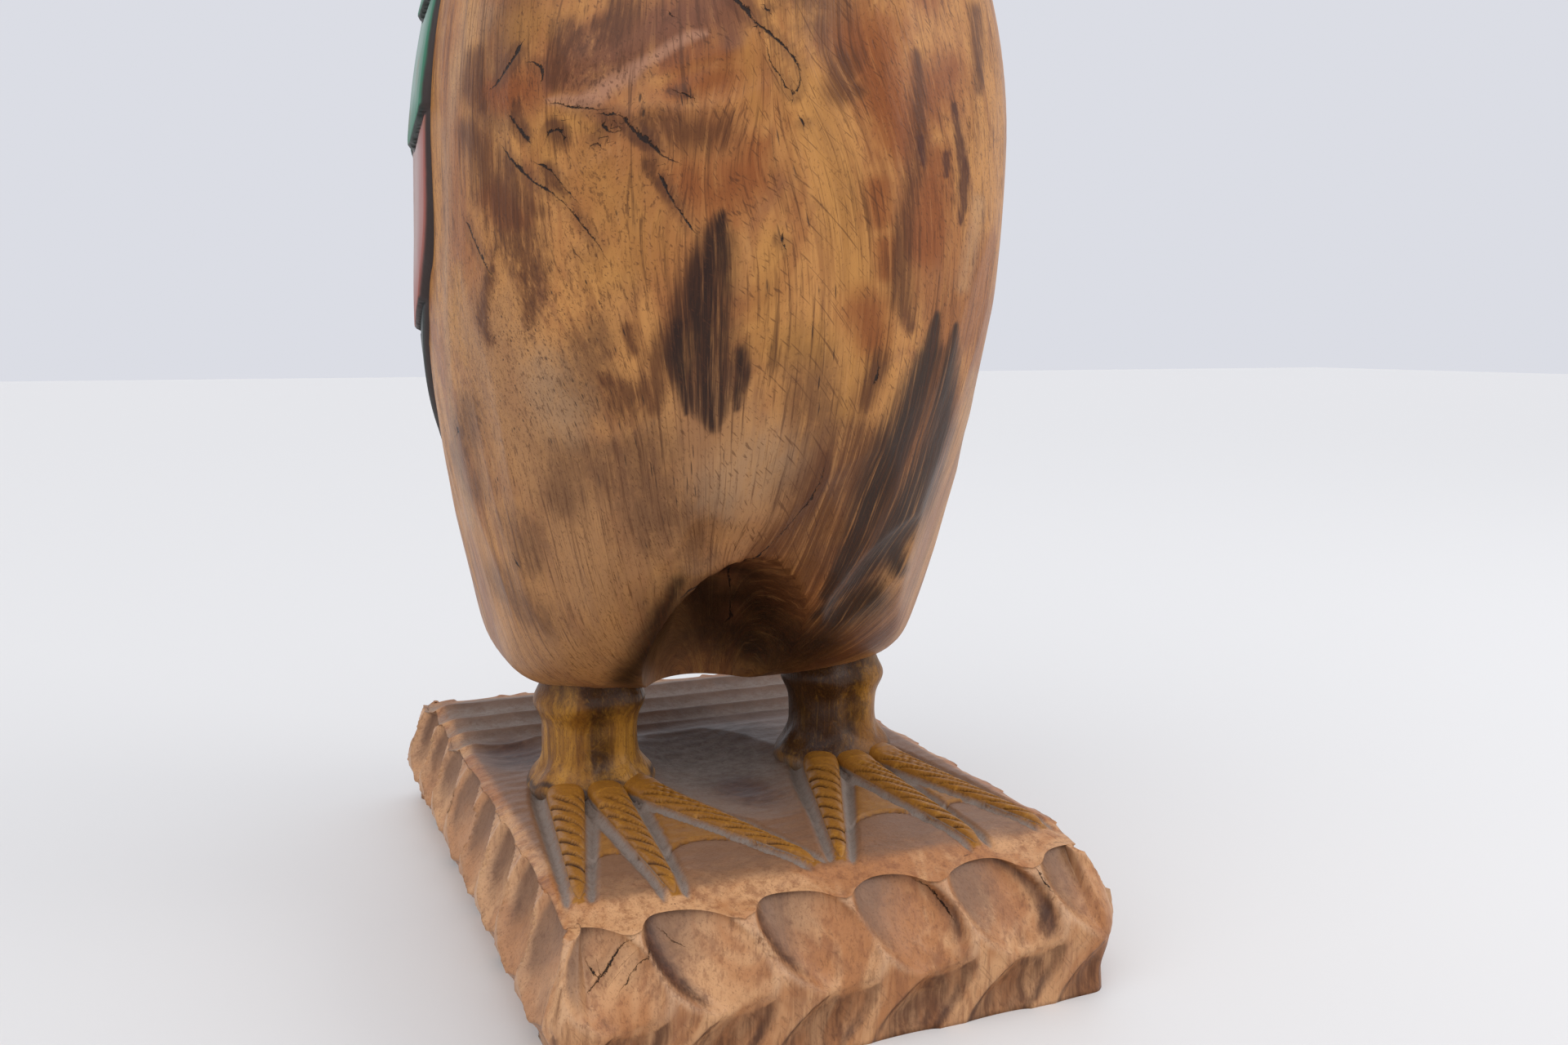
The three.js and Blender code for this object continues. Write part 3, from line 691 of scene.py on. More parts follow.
# The barrel at height z: half-widths follow quarter ellipses, reach * sqrt(1
# - (rise / span)^2), less the hem's rounding, and the middle line leans and
# bends. Returns its middle, its half-widths and its squareness.
def trunkAt(z):
    rise = np.abs(z - bird["widest"])
    below = z < bird["widest"]

    def share(reach):
        return np.sqrt(np.maximum(0, 1 - (rise / np.where(below, reach, bird["upperReach"])) ** 2))

    aboveHem = np.clip((z - bird["bottom"]) / (bird["hemStart"] - bird["bottom"]), 0, 1)
    hem = bird["hemInset"] * (1 - (1 - (1 - aboveHem) ** bird["hemPower"]) ** (1 / bird["hemPower"]))
    thigh = 1 - np.clip((z - bird["bottom"]) / (bird["thighTop"] - bird["bottom"]), 0, 1)
    middle = -bird["sideLean"] * np.exp(-(((z - bird["sideLeanHeight"]) / bird["sideLeanSpan"]) ** 2))
    axis = bird["axis"] + bird["axisCurve"] * (np.minimum(0, z - bird["axisHeight"]) / bird["axisSpan"]) ** 2
    across = bird["halfWidth"] * share(bird["sideReach"]) - hem
    front = bird["frontDepth"] * share(bird["frontReach"]) - hem * bird["hemFrontShare"]
    back = bird["backDepth"] * share(bird["backReach"]) - hem
    return middle, axis, across, front, back, lerp(bird["squareness"], bird["thighSquareness"], thigh)


# A point of the barrel's skin: a superellipse at height z, at an angle in degrees round from the front.
def onTrunk(angle, z, out=0.0):
    middle, axis, across, front, back, power = trunkAt(z)
    sine, cosine = np.sin(np.radians(angle)), np.cos(np.radians(angle))
    depth = np.where(cosine > 0, front, back)
    x = middle + (across + out) * squared(sine, power)
    y = axis - (depth + out) * squared(cosine, power)
    return np.stack(np.broadcast_arrays(x, y, z), -1)


# A smooth line through the given stations: centripetal Catmull-Rom, with its ends
# carried on straight. Between two stations it is the cubic in t that has their
# places and these slopes, which weigh the near stations by their gaps.
def throughStations(stations, share):
    stations = np.asarray(stations, float)
    padded = np.concatenate([2 * stations[:1] - stations[1:2], stations, 2 * stations[-1:] - stations[-2:-1]])
    place = np.asarray(share) * (len(stations) - 1)
    index = np.minimum(place.astype(int), len(stations) - 2)
    t = (place - index)[:, None]
    p0, p1, p2, p3 = (padded[index + k] for k in range(4))
    leastGap = 1e-4

    # the square root of the distance, which is what makes the curve centripetal
    def gap(a, b):
        return np.maximum(np.sum((a - b) ** 2, -1, keepdims=True) ** 0.25, leastGap)

    g0, g1, g2 = gap(p0, p1), gap(p1, p2), gap(p2, p3)
    start = ((p1 - p0) / g0 - (p2 - p0) / (g0 + g1) + (p2 - p1) / g1) * g1
    end = ((p2 - p1) / g1 - (p3 - p1) / (g1 + g2) + (p3 - p2) / g2) * g1
    square = -3 * p1 + 3 * p2 - 2 * start - end
    cube = 2 * p1 - 2 * p2 + start + end
    return p1 + start * t + square * t**2 + cube * t**3


# Depth of a shallow dish cut, 0 outside it: depth * (1 - a^2 - l^2) with a and l across and along it.
def dish(x, z, cut):
    centreX, centreZ, halfAcross, halfLong, lean, depth = cut
    slant = np.radians(lean)
    dx, dz = x - centreX, z - centreZ
    across = (dx * np.cos(slant) - dz * np.sin(slant)) / halfAcross
    along = (dx * np.sin(slant) + dz * np.cos(slant)) / halfLong
    return depth * np.maximum(0, 1 - across**2 - along**2)


# Rings of the bird: the hem's ring shrunk to the middle of the underside, superellipses up the
# barrel, less the gouge cuts and ripples, and superellipses square to the neck's middle line.
def birdRings():
    underside, hem, barrel, neck = bird["rows"]
    fine, fineStart, fineEnd = bird["fineColumns"]
    columns, angles = [0, fine, bird["columns"]], [fineStart, fineEnd, fineStart + 360]
    turns = np.interp(np.arange(bird["columns"]), columns, angles)
    low = lerp(bird["bottom"], bird["hemStart"], (np.arange(hem) / hem) ** 2)
    high = lerp(bird["hemStart"], bird["shoulder"], np.linspace(0, 1, barrel))
    heights = np.concatenate([low, high])[:, None]
    skin = onTrunk(turns[None], heights)
    places, facing = onSheet(skin.reshape(-1, 3))
    places = places.reshape(skin.shape[:2] + (2,))
    cut = sum(dish(places[..., 0], places[..., 1], gouge) for gouge in bird["gouges"])
    cut = cut * facing.reshape(skin.shape[:2])
    depth, wavelength, seed = bird["ripple"]
    ripple = np.abs(unevenness(skin * np.array(bird["rippleStretch"]), wavelength, seed))
    cut = cut + depth * ripple * smooth(heights, *bird["rippleFrom"])
    skin = onTrunk(turns[None], heights, -cut)

    first = skin[0]
    middle = first.mean(0)
    shrink = np.linspace(bird["firstRing"], 1, underside, endpoint=False)[:, None, None]
    floor = middle + (first - middle) * shrink

    _, axis, across, front, back, _ = (part.item() for part in trunkAt(np.array(float(bird["shoulder"]))))
    stations = np.array([(axis, bird["shoulder"], across, (front + back) / 2)] + bird["neck"], float)
    share = np.arange(1, neck + 1) / neck
    line = throughStations(stations[:, :2], share)
    step = 1e-4
    along = throughStations(stations[:, :2], np.minimum(share + step, 1))
    along = along - throughStations(stations[:, :2], share - step)
    along /= np.linalg.norm(along, axis=1, keepdims=True)
    sizes = throughStations(stations[:, 2:], share)
    square = np.stack([-along[:, 1], along[:, 0]], -1)
    forward = lerp(np.array([-1.0, 0.0]), square, smooth(share, *bird["neckTilt"])[:, None])
    forward /= np.linalg.norm(forward, axis=1, keepdims=True)
    rounding = smooth(share, *bird["neckRounding"])
    power = lerp(bird["squareness"], bird["neckSquareness"], rounding)[:, None]
    cosine = squared(np.cos(np.radians(turns))[None], power)
    x = sizes[:, :1] * squared(np.sin(np.radians(turns))[None], power)
    y = line[:, :1] + forward[:, :1] * sizes[:, 1:] * cosine
    z = line[:, 1:] + forward[:, 1:] * sizes[:, 1:] * cosine
    return np.concatenate([floor, skin, np.stack([x, y, z], -1)])


# Takes off the flat cuts: a point goes back by as far as it stands past a cut's plane, rounded near the
# plane. Then pushes what stands in front of the hollow's wall, the back of an ellipsoid, back to it.
def carved(points):
    points = points.copy()
    for place, facing, soft in bird["flats"]:
        facing = np.array(facing) / np.linalg.norm(facing)
        over = (points - np.array(place)) @ facing
        onBarrel = 1 - smooth(points[..., 2], bird["shoulder"] - bird["flatsFade"], bird["shoulder"])
        points -= facing * (roundedMax(over, 0, soft) * (over > -3 * soft) * onBarrel)[..., None]
    middle, radii = bird["niche"]
    offset = (points - np.array(middle)) / np.array(radii)
    inside = 1 - offset[..., 0] ** 2 - offset[..., 2] ** 2
    wall = middle[1] + radii[1] * np.sqrt(np.maximum(inside, 0))
    points[..., 1] = np.where(inside > 0, np.maximum(points[..., 1], wall), points[..., 1])
    return points


# Marks on the breast, as the photo shows them. Each is a line of stations on an upright sheet
# that faces the photo's viewpoint: millimetres to the right, height, and half-width.
marks = {
    "heart": [
        [(18, 314, 2), (17, 308, 5), (15, 298, 7), (13, 288, 8), (12, 278, 9), (12, 268, 10), (13, 258, 10),
         (13, 249, 8), (13, 242, 6), (14, 235, 2)],
        [(24, 264, 3), (25, 256, 3), (23, 248, 2), (23, 242, 1)],
        [(2, 274, 3), (1, 262, 4), (4, 250, 3), (4, 241, 1)],
    ],
    "ebony": [
        [(103, 279, 1), (101, 264, 4), (94, 248, 6), (90, 234, 7), (85, 221, 7), (80, 207, 7),
         (75, 193, 6), (68, 174, 5), (60, 158, 3)],
        [(112, 275, 1), (111, 264, 3), (109, 247, 5), (107, 230, 7), (103, 216, 8), (97, 202, 9),
         (90, 187, 8), (80, 173, 5), (68, 159, 3), (55, 147, 2)],
        [(63, 145, 7), (78, 154, 9)],
        [(89, 179, 5), (92, 167, 4)],
    ],
    "umberAndShade": [
        [(10, 295, 4), (2, 277, 4), (-6, 262, 5), (-9, 243, 3)],
        [(-26, 253, 3), (-19, 246, 7), (-11, 250, 5)],
        [(-17, 273, 2), (-15, 265, 2)],
        [(-67, 325, 6), (-61, 309, 10), (-55, 294, 7), (-56, 278, 3)],
        [(-84, 350, 4), (-76, 336, 8), (-66, 322, 9), (-58, 304, 8)],
        [(-73, 296, 2), (-79, 277, 3), (-75, 268, 2)],
        [(-38, 382, 4), (-41, 370, 4), (-43, 361, 2)],
        [(-17, 388, 6), (-23, 379, 4)],
        [(-79, 377, 4), (-80, 366, 5), (-75, 358, 3)],
        [(64, 371, 5), (62, 361, 5), (68, 361, 3)],
        [(92, 377, 2), (93, 361, 3), (93, 339, 4), (89, 321, 3), (86, 299, 5), (88, 285, 5), (91, 273, 2)],
        [(80, 262, 3), (77, 253, 4), (73, 244, 4)],
        [(118, 400, 3), (119, 384, 3), (119, 368, 2)],
        # this and the next: painted shadow along the step of the crease, and painted shade below it
        [(58, 222, 3), (56, 208, 5)],
        [(74, 225, 10), (61, 201, 15), (52, 175, 17), (41, 155, 14)],
        [(104, 264, 3), (98, 241, 5), (90, 217, 6), (83, 192, 8), (70, 165, 8)],
        [(84, 123, 16), (64, 122, 18), (52, 140, 12)],
        # painted shadow along the step of the crease
        [(59, 217, 3), (50, 200, 6), (38, 184, 7), (26, 172, 6), (16, 168, 4)],
        [(-6, 347, 5), (6, 343, 6), (17, 344, 6)],
        [(-44, 363, 2), (-43, 369, 3), (-39, 375, 3), (-35, 380, 3)],
        [(-27, 383, 3), (-23, 385, 3), (-17, 386, 3)],
        [(-59, 356, 2), (-59, 351, 2), (-57, 347, 2), (-55, 343, 1)],
        [(-44, 348, 2), (-42, 345, 3), (-41, 342, 3)],
        [(-24, 350, 2), (-21, 347, 3), (-17, 345, 2), (-12, 341, 2), (-7, 339, 2)],
        [(-1, 358, 1), (4, 358, 2), (8, 356, 1)],
        [(-65, 335, 3), (-62, 327, 5), (-57, 320, 5), (-51, 316, 3)],
        [(-47, 332, 2), (-44, 327, 3), (-40, 323, 1)],
        [(-7, 331, 3), (-5, 327, 2), (-1, 321, 2), (2, 317, 1)],
        [(-72, 331, 2), (-70, 323, 2)],
        # above the photo's edge, guessed
        [(-30, 472, 2), (-36, 446, 5), (-34, 422, 4)],
        [(60, 446, 2), (66, 424, 5), (64, 400, 3)],
        [(10, 458, 2), (13, 436, 4), (12, 420, 2)],
    ],
    "dull": [
        [(-75, 270, 18), (-55, 220, 34), (-35, 170, 40), (-10, 190, 36)],
        [(10, 225, 26), (32, 200, 28)],
        [(-20, 140, 26), (-60, 135, 24)],
        [(95, 200, 14), (80, 150, 16)],
    ],
    "smudge": [
        [(-42, 220, 12), (-48, 206, 9)],
        [(-12, 214, 12), (-11, 197, 12), (10, 203, 10)],
        [(-66, 190, 9), (-65, 176, 6)],
        [(-10, 226, 9), (-29, 216, 9)],
        [(5, 193, 6), (4, 183, 8)],
        [(-91, 239, 7), (-98, 218, 8), (-91, 207, 7)],
        [(-38, 250, 12), (-30, 268, 8)],
        [(-80, 165, 8), (-60, 150, 7)],
        [(50, 262, 10), (58, 235, 12), (50, 215, 12)],
        [(-62, 388, 10), (-74, 350, 9)],
        [(55, 395, 14), (62, 380, 8)],
    ],
    "mauve": [
        [(-44, 363, 4), (-40, 366, 8), (-31, 369, 10), (-23, 373, 10), (-14, 377, 10), (-5, 380, 9),
         (4, 384, 9), (13, 387, 9), (21, 384, 6)],
        [(21, 389, 6), (22, 377, 4)],
    ],
    # painted highlight along the lower ridge of the flat cut on the breast
    "lip": [
        [(-46, 356, 1), (-40, 356, 2), (-33, 355, 2), (-27, 357, 3), (-22, 361, 3), (-16, 364, 3),
         (-11, 368, 2), (-5, 371, 2), (1, 375, 2), (7, 378, 2), (13, 379, 1)],
    ],
    # painted shade over dark wood in the hollow between the thighs
    "smokeAndHollowShade": [
        [(3, 153, 17), (9, 131, 26), (34, 124, 24)],
        [(24, 150, 15), (44, 128, 18)],
        [(-2, 170, 4), (-9, 156, 6), (-16, 139, 7), (-29, 118, 7)],
        [(56, 130, 11), (37, 132, 11)],
        [(14, 169, 3), (27, 165, 5)],
    ],
    "russet": [
        [(-3, 367, 3), (4, 370, 5), (12, 372, 6), (19, 371, 5)],
        [(0, 358, 3), (9, 362, 5), (19, 363, 6)],
        [(-72, 363, 4), (-65, 359, 5), (-56, 359, 4), (-52, 363, 3)],
        [(-70, 323, 5), (-65, 316, 5), (-58, 313, 3)],
        [(8, 325, 8), (17, 320, 8), (28, 329, 7), (31, 339, 4)],
        [(80, 305, 4), (80, 294, 3)],
        [(76, 326, 4), (78, 314, 4)],
        [(102, 340, 5), (99, 324, 7), (97, 306, 7)],
        [(-56, 361, 7), (-67, 360, 5)],
        [(72, 377, 10), (85, 345, 8), (105, 372, 8)],
        [(73, 279, 8), (76, 268, 6)],
        # above the photo's edge, guessed
        [(26, 476, 7), (34, 444, 10), (30, 412, 10)],
        [(-62, 436, 7), (-68, 408, 8)],
        [(90, 436, 7), (95, 406, 8)],
    ],
    "gold": [
        [(-31, 333, 9), (-19, 318, 14), (-10, 303, 12), (-25, 295, 9)],
        [(28, 381, 2), (29, 371, 3), (29, 359, 3), (32, 350, 3)],
        [(-49, 351, 2), (-37, 348, 4), (-26, 344, 2)],
        [(50, 357, 9), (56, 337, 9), (66, 305, 8), (69, 289, 7)],
        [(-40, 322, 3), (-53, 346, 6), (-37, 348, 6)],
        [(37, 304, 5), (33, 268, 7), (54, 268, 8)],
        [(-91, 297, 3), (-95, 274, 3), (-90, 261, 3)],
        [(73, 268, 8), (67, 242, 5)],
        [(-56, 385, 8), (-37, 389, 6)],
    ],
    # pale bleached patches; the strokes along the breast's two edges are a painted highlight
    "paleAndHighlight": [
        [(-77, 396, 8), (-87, 376, 5), (-94, 352, 3), (-98, 307, 3), (-100, 267, 2), (-102, 232, 2),
         (-98, 189, 3)],
        [(-50, 254, 10), (-44, 240, 10)],
        [(34, 223, 12), (15, 210, 10)],
        [(124, 253, 3), (124, 216, 3), (115, 183, 3), (102, 146, 4)],
        [(114, 291, 3), (121, 324, 3)],
    ],
    "redstreak": [
        [(108, 360, 1.4), (110, 349, 2.0), (113, 335, 2.4), (113, 323, 2.0), (112, 315, 1.0)],
        [(105, 341, 1.7), (105, 333, 1.3)],
        [(94, 346, 1.6), (95, 337, 1.6)],
    ],
    "cracks": [
        [(-68, 345, 0), (-63, 337, 0.5), (-58, 332, 0.8), (-52, 327, 0.8), (-45, 323, 0.7),
         (-40, 319, 0.4), (-35, 313, 0.6), (-31, 308, 0.6), (-27, 303, 0.4), (-23, 296, 0)],
        [(-87, 318, 0), (-84, 314, 0.5), (-81, 308, 0.7), (-78, 302, 0.7), (-75, 297, 0.5), (-72, 292, 0)],
        [(-5, 329, 0), (-3, 326, 0.9), (0, 320, 0.8), (4, 314, 0.6), (7, 309, 0.5), (10, 307, 0)],
        [(23, 392, 1.9), (27, 388, 1.3), (31, 383, 0.8), (35, 380, 0.8), (40, 376, 0.7), (44, 372, 0.7),
         (47, 367, 0.6), (47, 362, 0.5), (45, 358, 0.8), (42, 360, 0.6), (39, 365, 0.6), (36, 369, 0.4),
         (35, 374, 0.3), (32, 379, 0)],
        [(-24, 350, 0.6), (-18, 350, 0.6), (-15, 346, 1.2), (-11, 342, 1.5), (-7, 339, 1.2),
         (-3, 335, 0.5), (1, 333, 0.3), (4, 332, 0)],
        [(16, 172, 0.7), (16, 158, 0.8), (16, 140, 0.9)],
        [(-38, 305, 0), (-37, 301, 0.4), (-34, 298, 0)],
        [(58, 222, 0), (56, 212, 0.4), (51, 203, 0.6), (44, 194, 0.5), (36, 185, 0.6), (27, 177, 0.6),
         (20, 171, 0.7), (11, 170, 0.6), (2, 166, 0.5), (-4, 160, 0)],
        [(-73, 183, 0), (-71, 176, 0.5), (-68, 173, 0)],
    ],
    "splits": [
        [(-53, 335, 0), (-49, 333, 0.6), (-45, 331, 0.6), (-42, 327, 0.4), (-38, 322, 0.3), (-34, 318, 0)],
        [(-63, 353, 0), (-60, 350, 1.3), (-57, 346, 1.3), (-55, 343, 0.8), (-53, 341, 0)],
        [(-47, 343, 0.3), (-46, 345, 1.0), (-43, 346, 1.0), (-41, 345, 0.9), (-40, 343, 0.5), (-40, 340, 0)],
        [(-46, 355, 0), (-42, 355, 0.4), (-37, 353, 0.4), (-32, 353, 0.6), (-27, 352, 0.4), (-23, 352, 0)],
        [(-24, 348, 0), (-25, 346, 1.1), (-23, 344, 0.6), (-19, 344, 0.4), (-17, 345, 0)],
        [(-21, 348, 0.3), (-19, 347, 0.7), (-17, 347, 0)],
        [(-30, 339, 0), (-29, 340, 0.8), (-27, 340, 0.8), (-25, 338, 0)],
        [(-51, 370, 0.6), (-49, 369, 0.8), (-48, 366, 0.6), (-49, 362, 0)],
        [(-72, 363, 0), (-68, 365, 0.7), (-63, 370, 0.7), (-58, 376, 1.3), (-56, 379, 0)],
        [(-1, 387, 0), (0, 386, 1.1), (2, 385, 0)],
        [(0, 359, 0), (3, 358, 0.5), (7, 356, 0.4)],
        [(41, 309, 0), (40, 306, 0.9), (42, 302, 0.4), (43, 295, 0)],
        [(36, 387, 1.0), (37, 386, 0)],
        [(-99, 233, 0), (-97, 230, 1.1), (-99, 228, 0)],
        [(46, 351, 0), (48, 348, 0.8), (49, 345, 0.3)],
        [(78, 261, 0), (79, 258, 1.0), (77, 252, 0.5), (76, 250, 0)],
    ],
    "ticks": [
        [(60, 298, 6), (57, 274, 7), (51, 252, 7)],
        [(32, 345, 7), (41, 307, 7), (47, 286, 8)],
        [(-67, 274, 10), (-39, 274, 14), (-27, 255, 14), (-55, 242, 13)],
        [(-6, 353, 8), (14, 347, 9)],
        [(-84, 227, 7), (-72, 208, 7)],
        [(-15, 237, 9), (6, 210, 10)],
    ],
}
# the marks that are stains, painted highlights and painted shade; the others are cracks
stained = (
    "dull", "smudge", "paleAndHighlight", "gold", "russet", "mauve", "umberAndShade", "lip", "smokeAndHollowShade", "redstreak", "heart",
    "ebony", "ticks",
)
sheet = {
    "turn": -22.66,  # degrees the sheet is turned from the bird's front
    "edge": (-35, 5),  # distance behind the sheet over which the marks fade out
    "thinnest": 0.1,
    "crackFade": (2.5, 4.5),  # distance from a crack over which its half-width falls to 0
}
uncracked = 9.0  # millimetres, the distance from a crack that stands for having none near
grain = {
    # how the grain leans on either flank: side, slope, where it
    # begins and is full, and the span and height of the turn
    "leans": [(-1, 0.7, -25, 75, 45, 265), (1, 0.35, 5, 60, 50, 350)],
    # knots that the grain closes round: right on the sheet, height, pull and size
    "knots": [
        (-43, 343, 0.8, 22),
        (-20, 346, -0.7, 20),
        (40, 372, 0.8, 20),
        (8, 172, 0.9, 20),
        (10, 330, 0.6, 18),
    ],
}


# Places of points on the marks' sheet, by turning them about +Z, and 1 where they lie on the side it faces.
def onSheet(points):
    turn = np.radians(sheet["turn"])
    right = points[:, 0] * np.cos(turn) + points[:, 1] * np.sin(turn)
    behind = points[:, 1] * np.cos(turn) - points[:, 0] * np.sin(turn)
    facing = 1 - smooth(behind, *sheet["edge"])
    return np.stack([right, points[:, 2]], -1), facing


# Distance from each place on the sheet to a line of stations, its sign by side, and the half-width there.
# The share of the way along a run is the gap to its start, projected on it and kept between 0 and 1.
def toStroke(places, stroke):
    stations = np.array(stroke, float)
    best, signed, half = np.full(len(places), far), np.zeros(len(places)), np.zeros(len(places))
    for start, end in zip(stations[:-1], stations[1:]):
        run = end[:2] - start[:2]
        gap = places - start[:2]
        share = np.clip(gap @ run / (run @ run), 0, 1)
        gap = gap - share[:, None] * run
        distance = np.hypot(gap[:, 0], gap[:, 1])
        side = gap[:, 0] * run[1] - gap[:, 1] * run[0]
        nearer = distance < best
        best = np.where(nearer, distance, best)
        signed = np.where(nearer, np.where(side > 0, distance, -distance), signed)
        half = np.where(nearer, lerp(start[2], end[2], share), half)
    return best, signed, half


# How deep a place lies in a set of strokes, 1 - distance / (2
# * half-width): 1 on a line, 0.5 at a stroke's edge.
def strokeField(places, strokes):
    depth = np.zeros(len(places))
    for stroke in strokes:
        distance, _, half = toStroke(places, stroke)
        depth = np.maximum(depth, np.clip(1 - 0.5 * distance / np.maximum(half, sheet["thinnest"]), 0, 1))
    return depth


# Signed distance to the nearest crack, and its half-width, which is 0 away from the crack.
def crackFields(places, strokes):
    best = np.full(len(places), far)
    across, half = np.full(len(places), uncracked), np.zeros(len(places))
    for stroke in strokes:
        distance, signed, width = toStroke(places, stroke)
        nearer = distance < best
        best = np.where(nearer, distance, best)
        across = np.where(nearer, np.clip(signed, -uncracked, uncracked), across)
        half = np.where(nearer, width * (1 - smooth(distance, *sheet["crackFade"])), half)
    return across, half


# Sideways shift of the grain in metres. On a flank it is slope * span * tanh((z - height) /
# span), and beside a knot pull * dx * e to the power of -(distance / size)^2.
def grainSwirl(places):
    x, z = places[:, 0], places[:, 1]
    shift = 0
    for side, slope, begins, full, span, height in grain["leans"]:
        shift = shift + slope * smooth(side * x, begins, full) * span * np.tanh((z - height) / span)
    for knotX, knotZ, pull, size in grain["knots"]:
        dx, dz = x - knotX, z - knotZ
        shift = shift + pull * dx * np.exp(-(dx**2 + dz**2) / size**2)
    return shift * mm


# The bird's skin, with a field for each kind of mark and its grain's lines laid on a cylinder: r *
# sin and r * cos of the angle round the barrel, so that they follow the skin's columns.
def makeBody():
    rings = carved(birdRings())
    points = withPoles(rings)
    places, facing = onSheet(points)
    fields = {name: strokeField(places, marks[name]) * facing for name in stained}
    for marked, line in (("cracks", "crack"), ("splits", "split")):
        fields[line + "Across"], half = crackFields(places, marks[marked])
        fields[line + "Half"] = half * facing
    x, y, z = points.T
    shoulder = bird["shoulder"]
    narrowing = smooth(z, shoulder, shoulder + bird["grainNarrows"])
    radius = lerp(bird["grainRadius"], bird["neckGrainRadius"], narrowing)
    angle = np.arctan2(x, bird["axis"] - y)
    unrolled = smooth(z, *(shoulder + above for above in bird["grainUnrolls"]))
    fields["grainX"] = lerp(radius * np.sin(angle), x, unrolled) * mm + grainSwirl(places) * facing
    fields["grainY"] = lerp(-radius * np.cos(angle), y, unrolled) * mm
    # the bill is stained yellow, and its root is painted black
    onHead = smooth(z, *bird["headFrom"])
    fields["ochre"] = smooth(-y, *bird["billFrom"]) * onHead
    root = smooth(-y, *bird["rootFrom"]) * onHead * (1 - smooth(-y, *bird["rootTo"]))
    fields["blackPaint"] = root * bird["rootPaint"]
    addPiece("carvedBody", points, *ringFaces(*rings.shape[:2]), fields, bodyWood)


makeBody()


# The wings: raised panels of painted feathers lying on the barrel.

wing = {
    "top": 492,
    "tip": 150,
    "lead": 87,  # degrees round from the front
    "trail": 173,
    "shoulderShare": 0.2,
    "shoulderSweep": 42,
    "sweepTop": 325,
    "tipLead": 150,
    "tipTrail": 162,
    "leadBend": 1.6,
    "trailBend": 2,
    "radius": 132,  # of the barrel under the wing, which turns degrees into widths
    "proud": 2.0,
    "rooted": 7,
    "edges": [150, 273, 352, 407, 462],  # heights where the rows of feathers end
    "rowStep": 2.4,
    "rowPower": 1.3,  # how soon a row thins above its lower edge
    "feathersAcross": 5,
    "scallop": 15,
    "scallopLean": 0.85,  # distance square to a scallop's slanting line, for each millimetre straight up
    "crown": 0.9,
    "quill": (0.35, 0.8),  # height and half-width
    "outline": 1.5,  # half-width of the cut line round each feather, and its depth
    "outlineDepth": 1.3,
    "rimReach": 1.6,
    "border": 2.0,  # width of the panel's rolled border, and how far it goes into the barrel
    "borderSunk": 0.6,
    "burnt": 1.6,  # half-width of the dark line along the border
    "rows": 300,
    "columns": 170,
    "columnsUnder": 14,
}


# Where a wing lies: the angles of its leading and trailing edges at each share of
# the way down. Each edge goes from its place at the shoulder to its place at the
# tip as a power of the way down, and the shoulder is rounded off.
def wingEdges(down):
    z = lerp(wing["top"], wing["tip"], down)
    rounding = np.clip(1 - down / wing["shoulderShare"], 0, 1)
    bend = 1 - np.sqrt(1 - rounding**2)
    sweep = np.clip((wing["sweepTop"] - z) / (wing["sweepTop"] - wing["tip"]), 0, 1)
    lead = lerp(wing["lead"], wing["tipLead"], sweep ** wing["leadBend"]) + wing["shoulderSweep"] * bend
    trail = lerp(wing["trail"], wing["tipTrail"], sweep ** wing["trailBend"]) - wing["shoulderSweep"] * bend
    return z, lead, trail


# Height of the feathers off the barrel, and what colours them. Each row is thickest at
# its scalloped lower edge and thins upwards as step * (1 - climb)^power, and each
# feather is crowned as 1 - (2m)^2 and cut round with a line.
def featherRelief(z, share, width):
    place = share * wing["feathersAcross"]
    scallop = wing["scallop"] * (1 - np.abs(np.sin(np.pi * place)))
    edges = np.array(wing["edges"] + [wing["top"] + wing["scallop"]], float)
    row = np.zeros(z.shape, int)
    toEdge = np.full(z.shape, far)
    for i in range(1, len(wing["edges"])):
        line = edges[i] + scallop
        row = np.where(z >= line, i, row)
        toEdge = np.minimum(toEdge, np.abs(z - line) * wing["scallopLean"])
    lower = edges[row] + np.where(row > 0, scallop, 0)
    climb = np.clip((z - lower) / (edges[row + 1] + scallop - lower), 0, 1)
    middle = np.abs(place - np.floor(place) - 0.5)
    toSide = (0.5 - middle) * width / wing["feathersAcross"]
    toLine = np.minimum(toEdge, toSide)
    crown = wing["crown"] * (1 - (2 * middle) ** 2)
    quillHeight, quillHalf = wing["quill"]
    quill = quillHeight * np.exp(-((middle * width / wing["feathersAcross"] / quillHalf) ** 2))
    groove = wing["outlineDepth"] * np.maximum(0, 1 - toLine / wing["outline"])
    height = wing["proud"] + wing["rowStep"] * (1 - climb) ** wing["rowPower"] + crown + quill - groove
    tier = np.minimum(row, 2)
    rim = np.maximum(2 * middle, 1 - climb * wing["rimReach"])
    return height, toLine, tier, rim


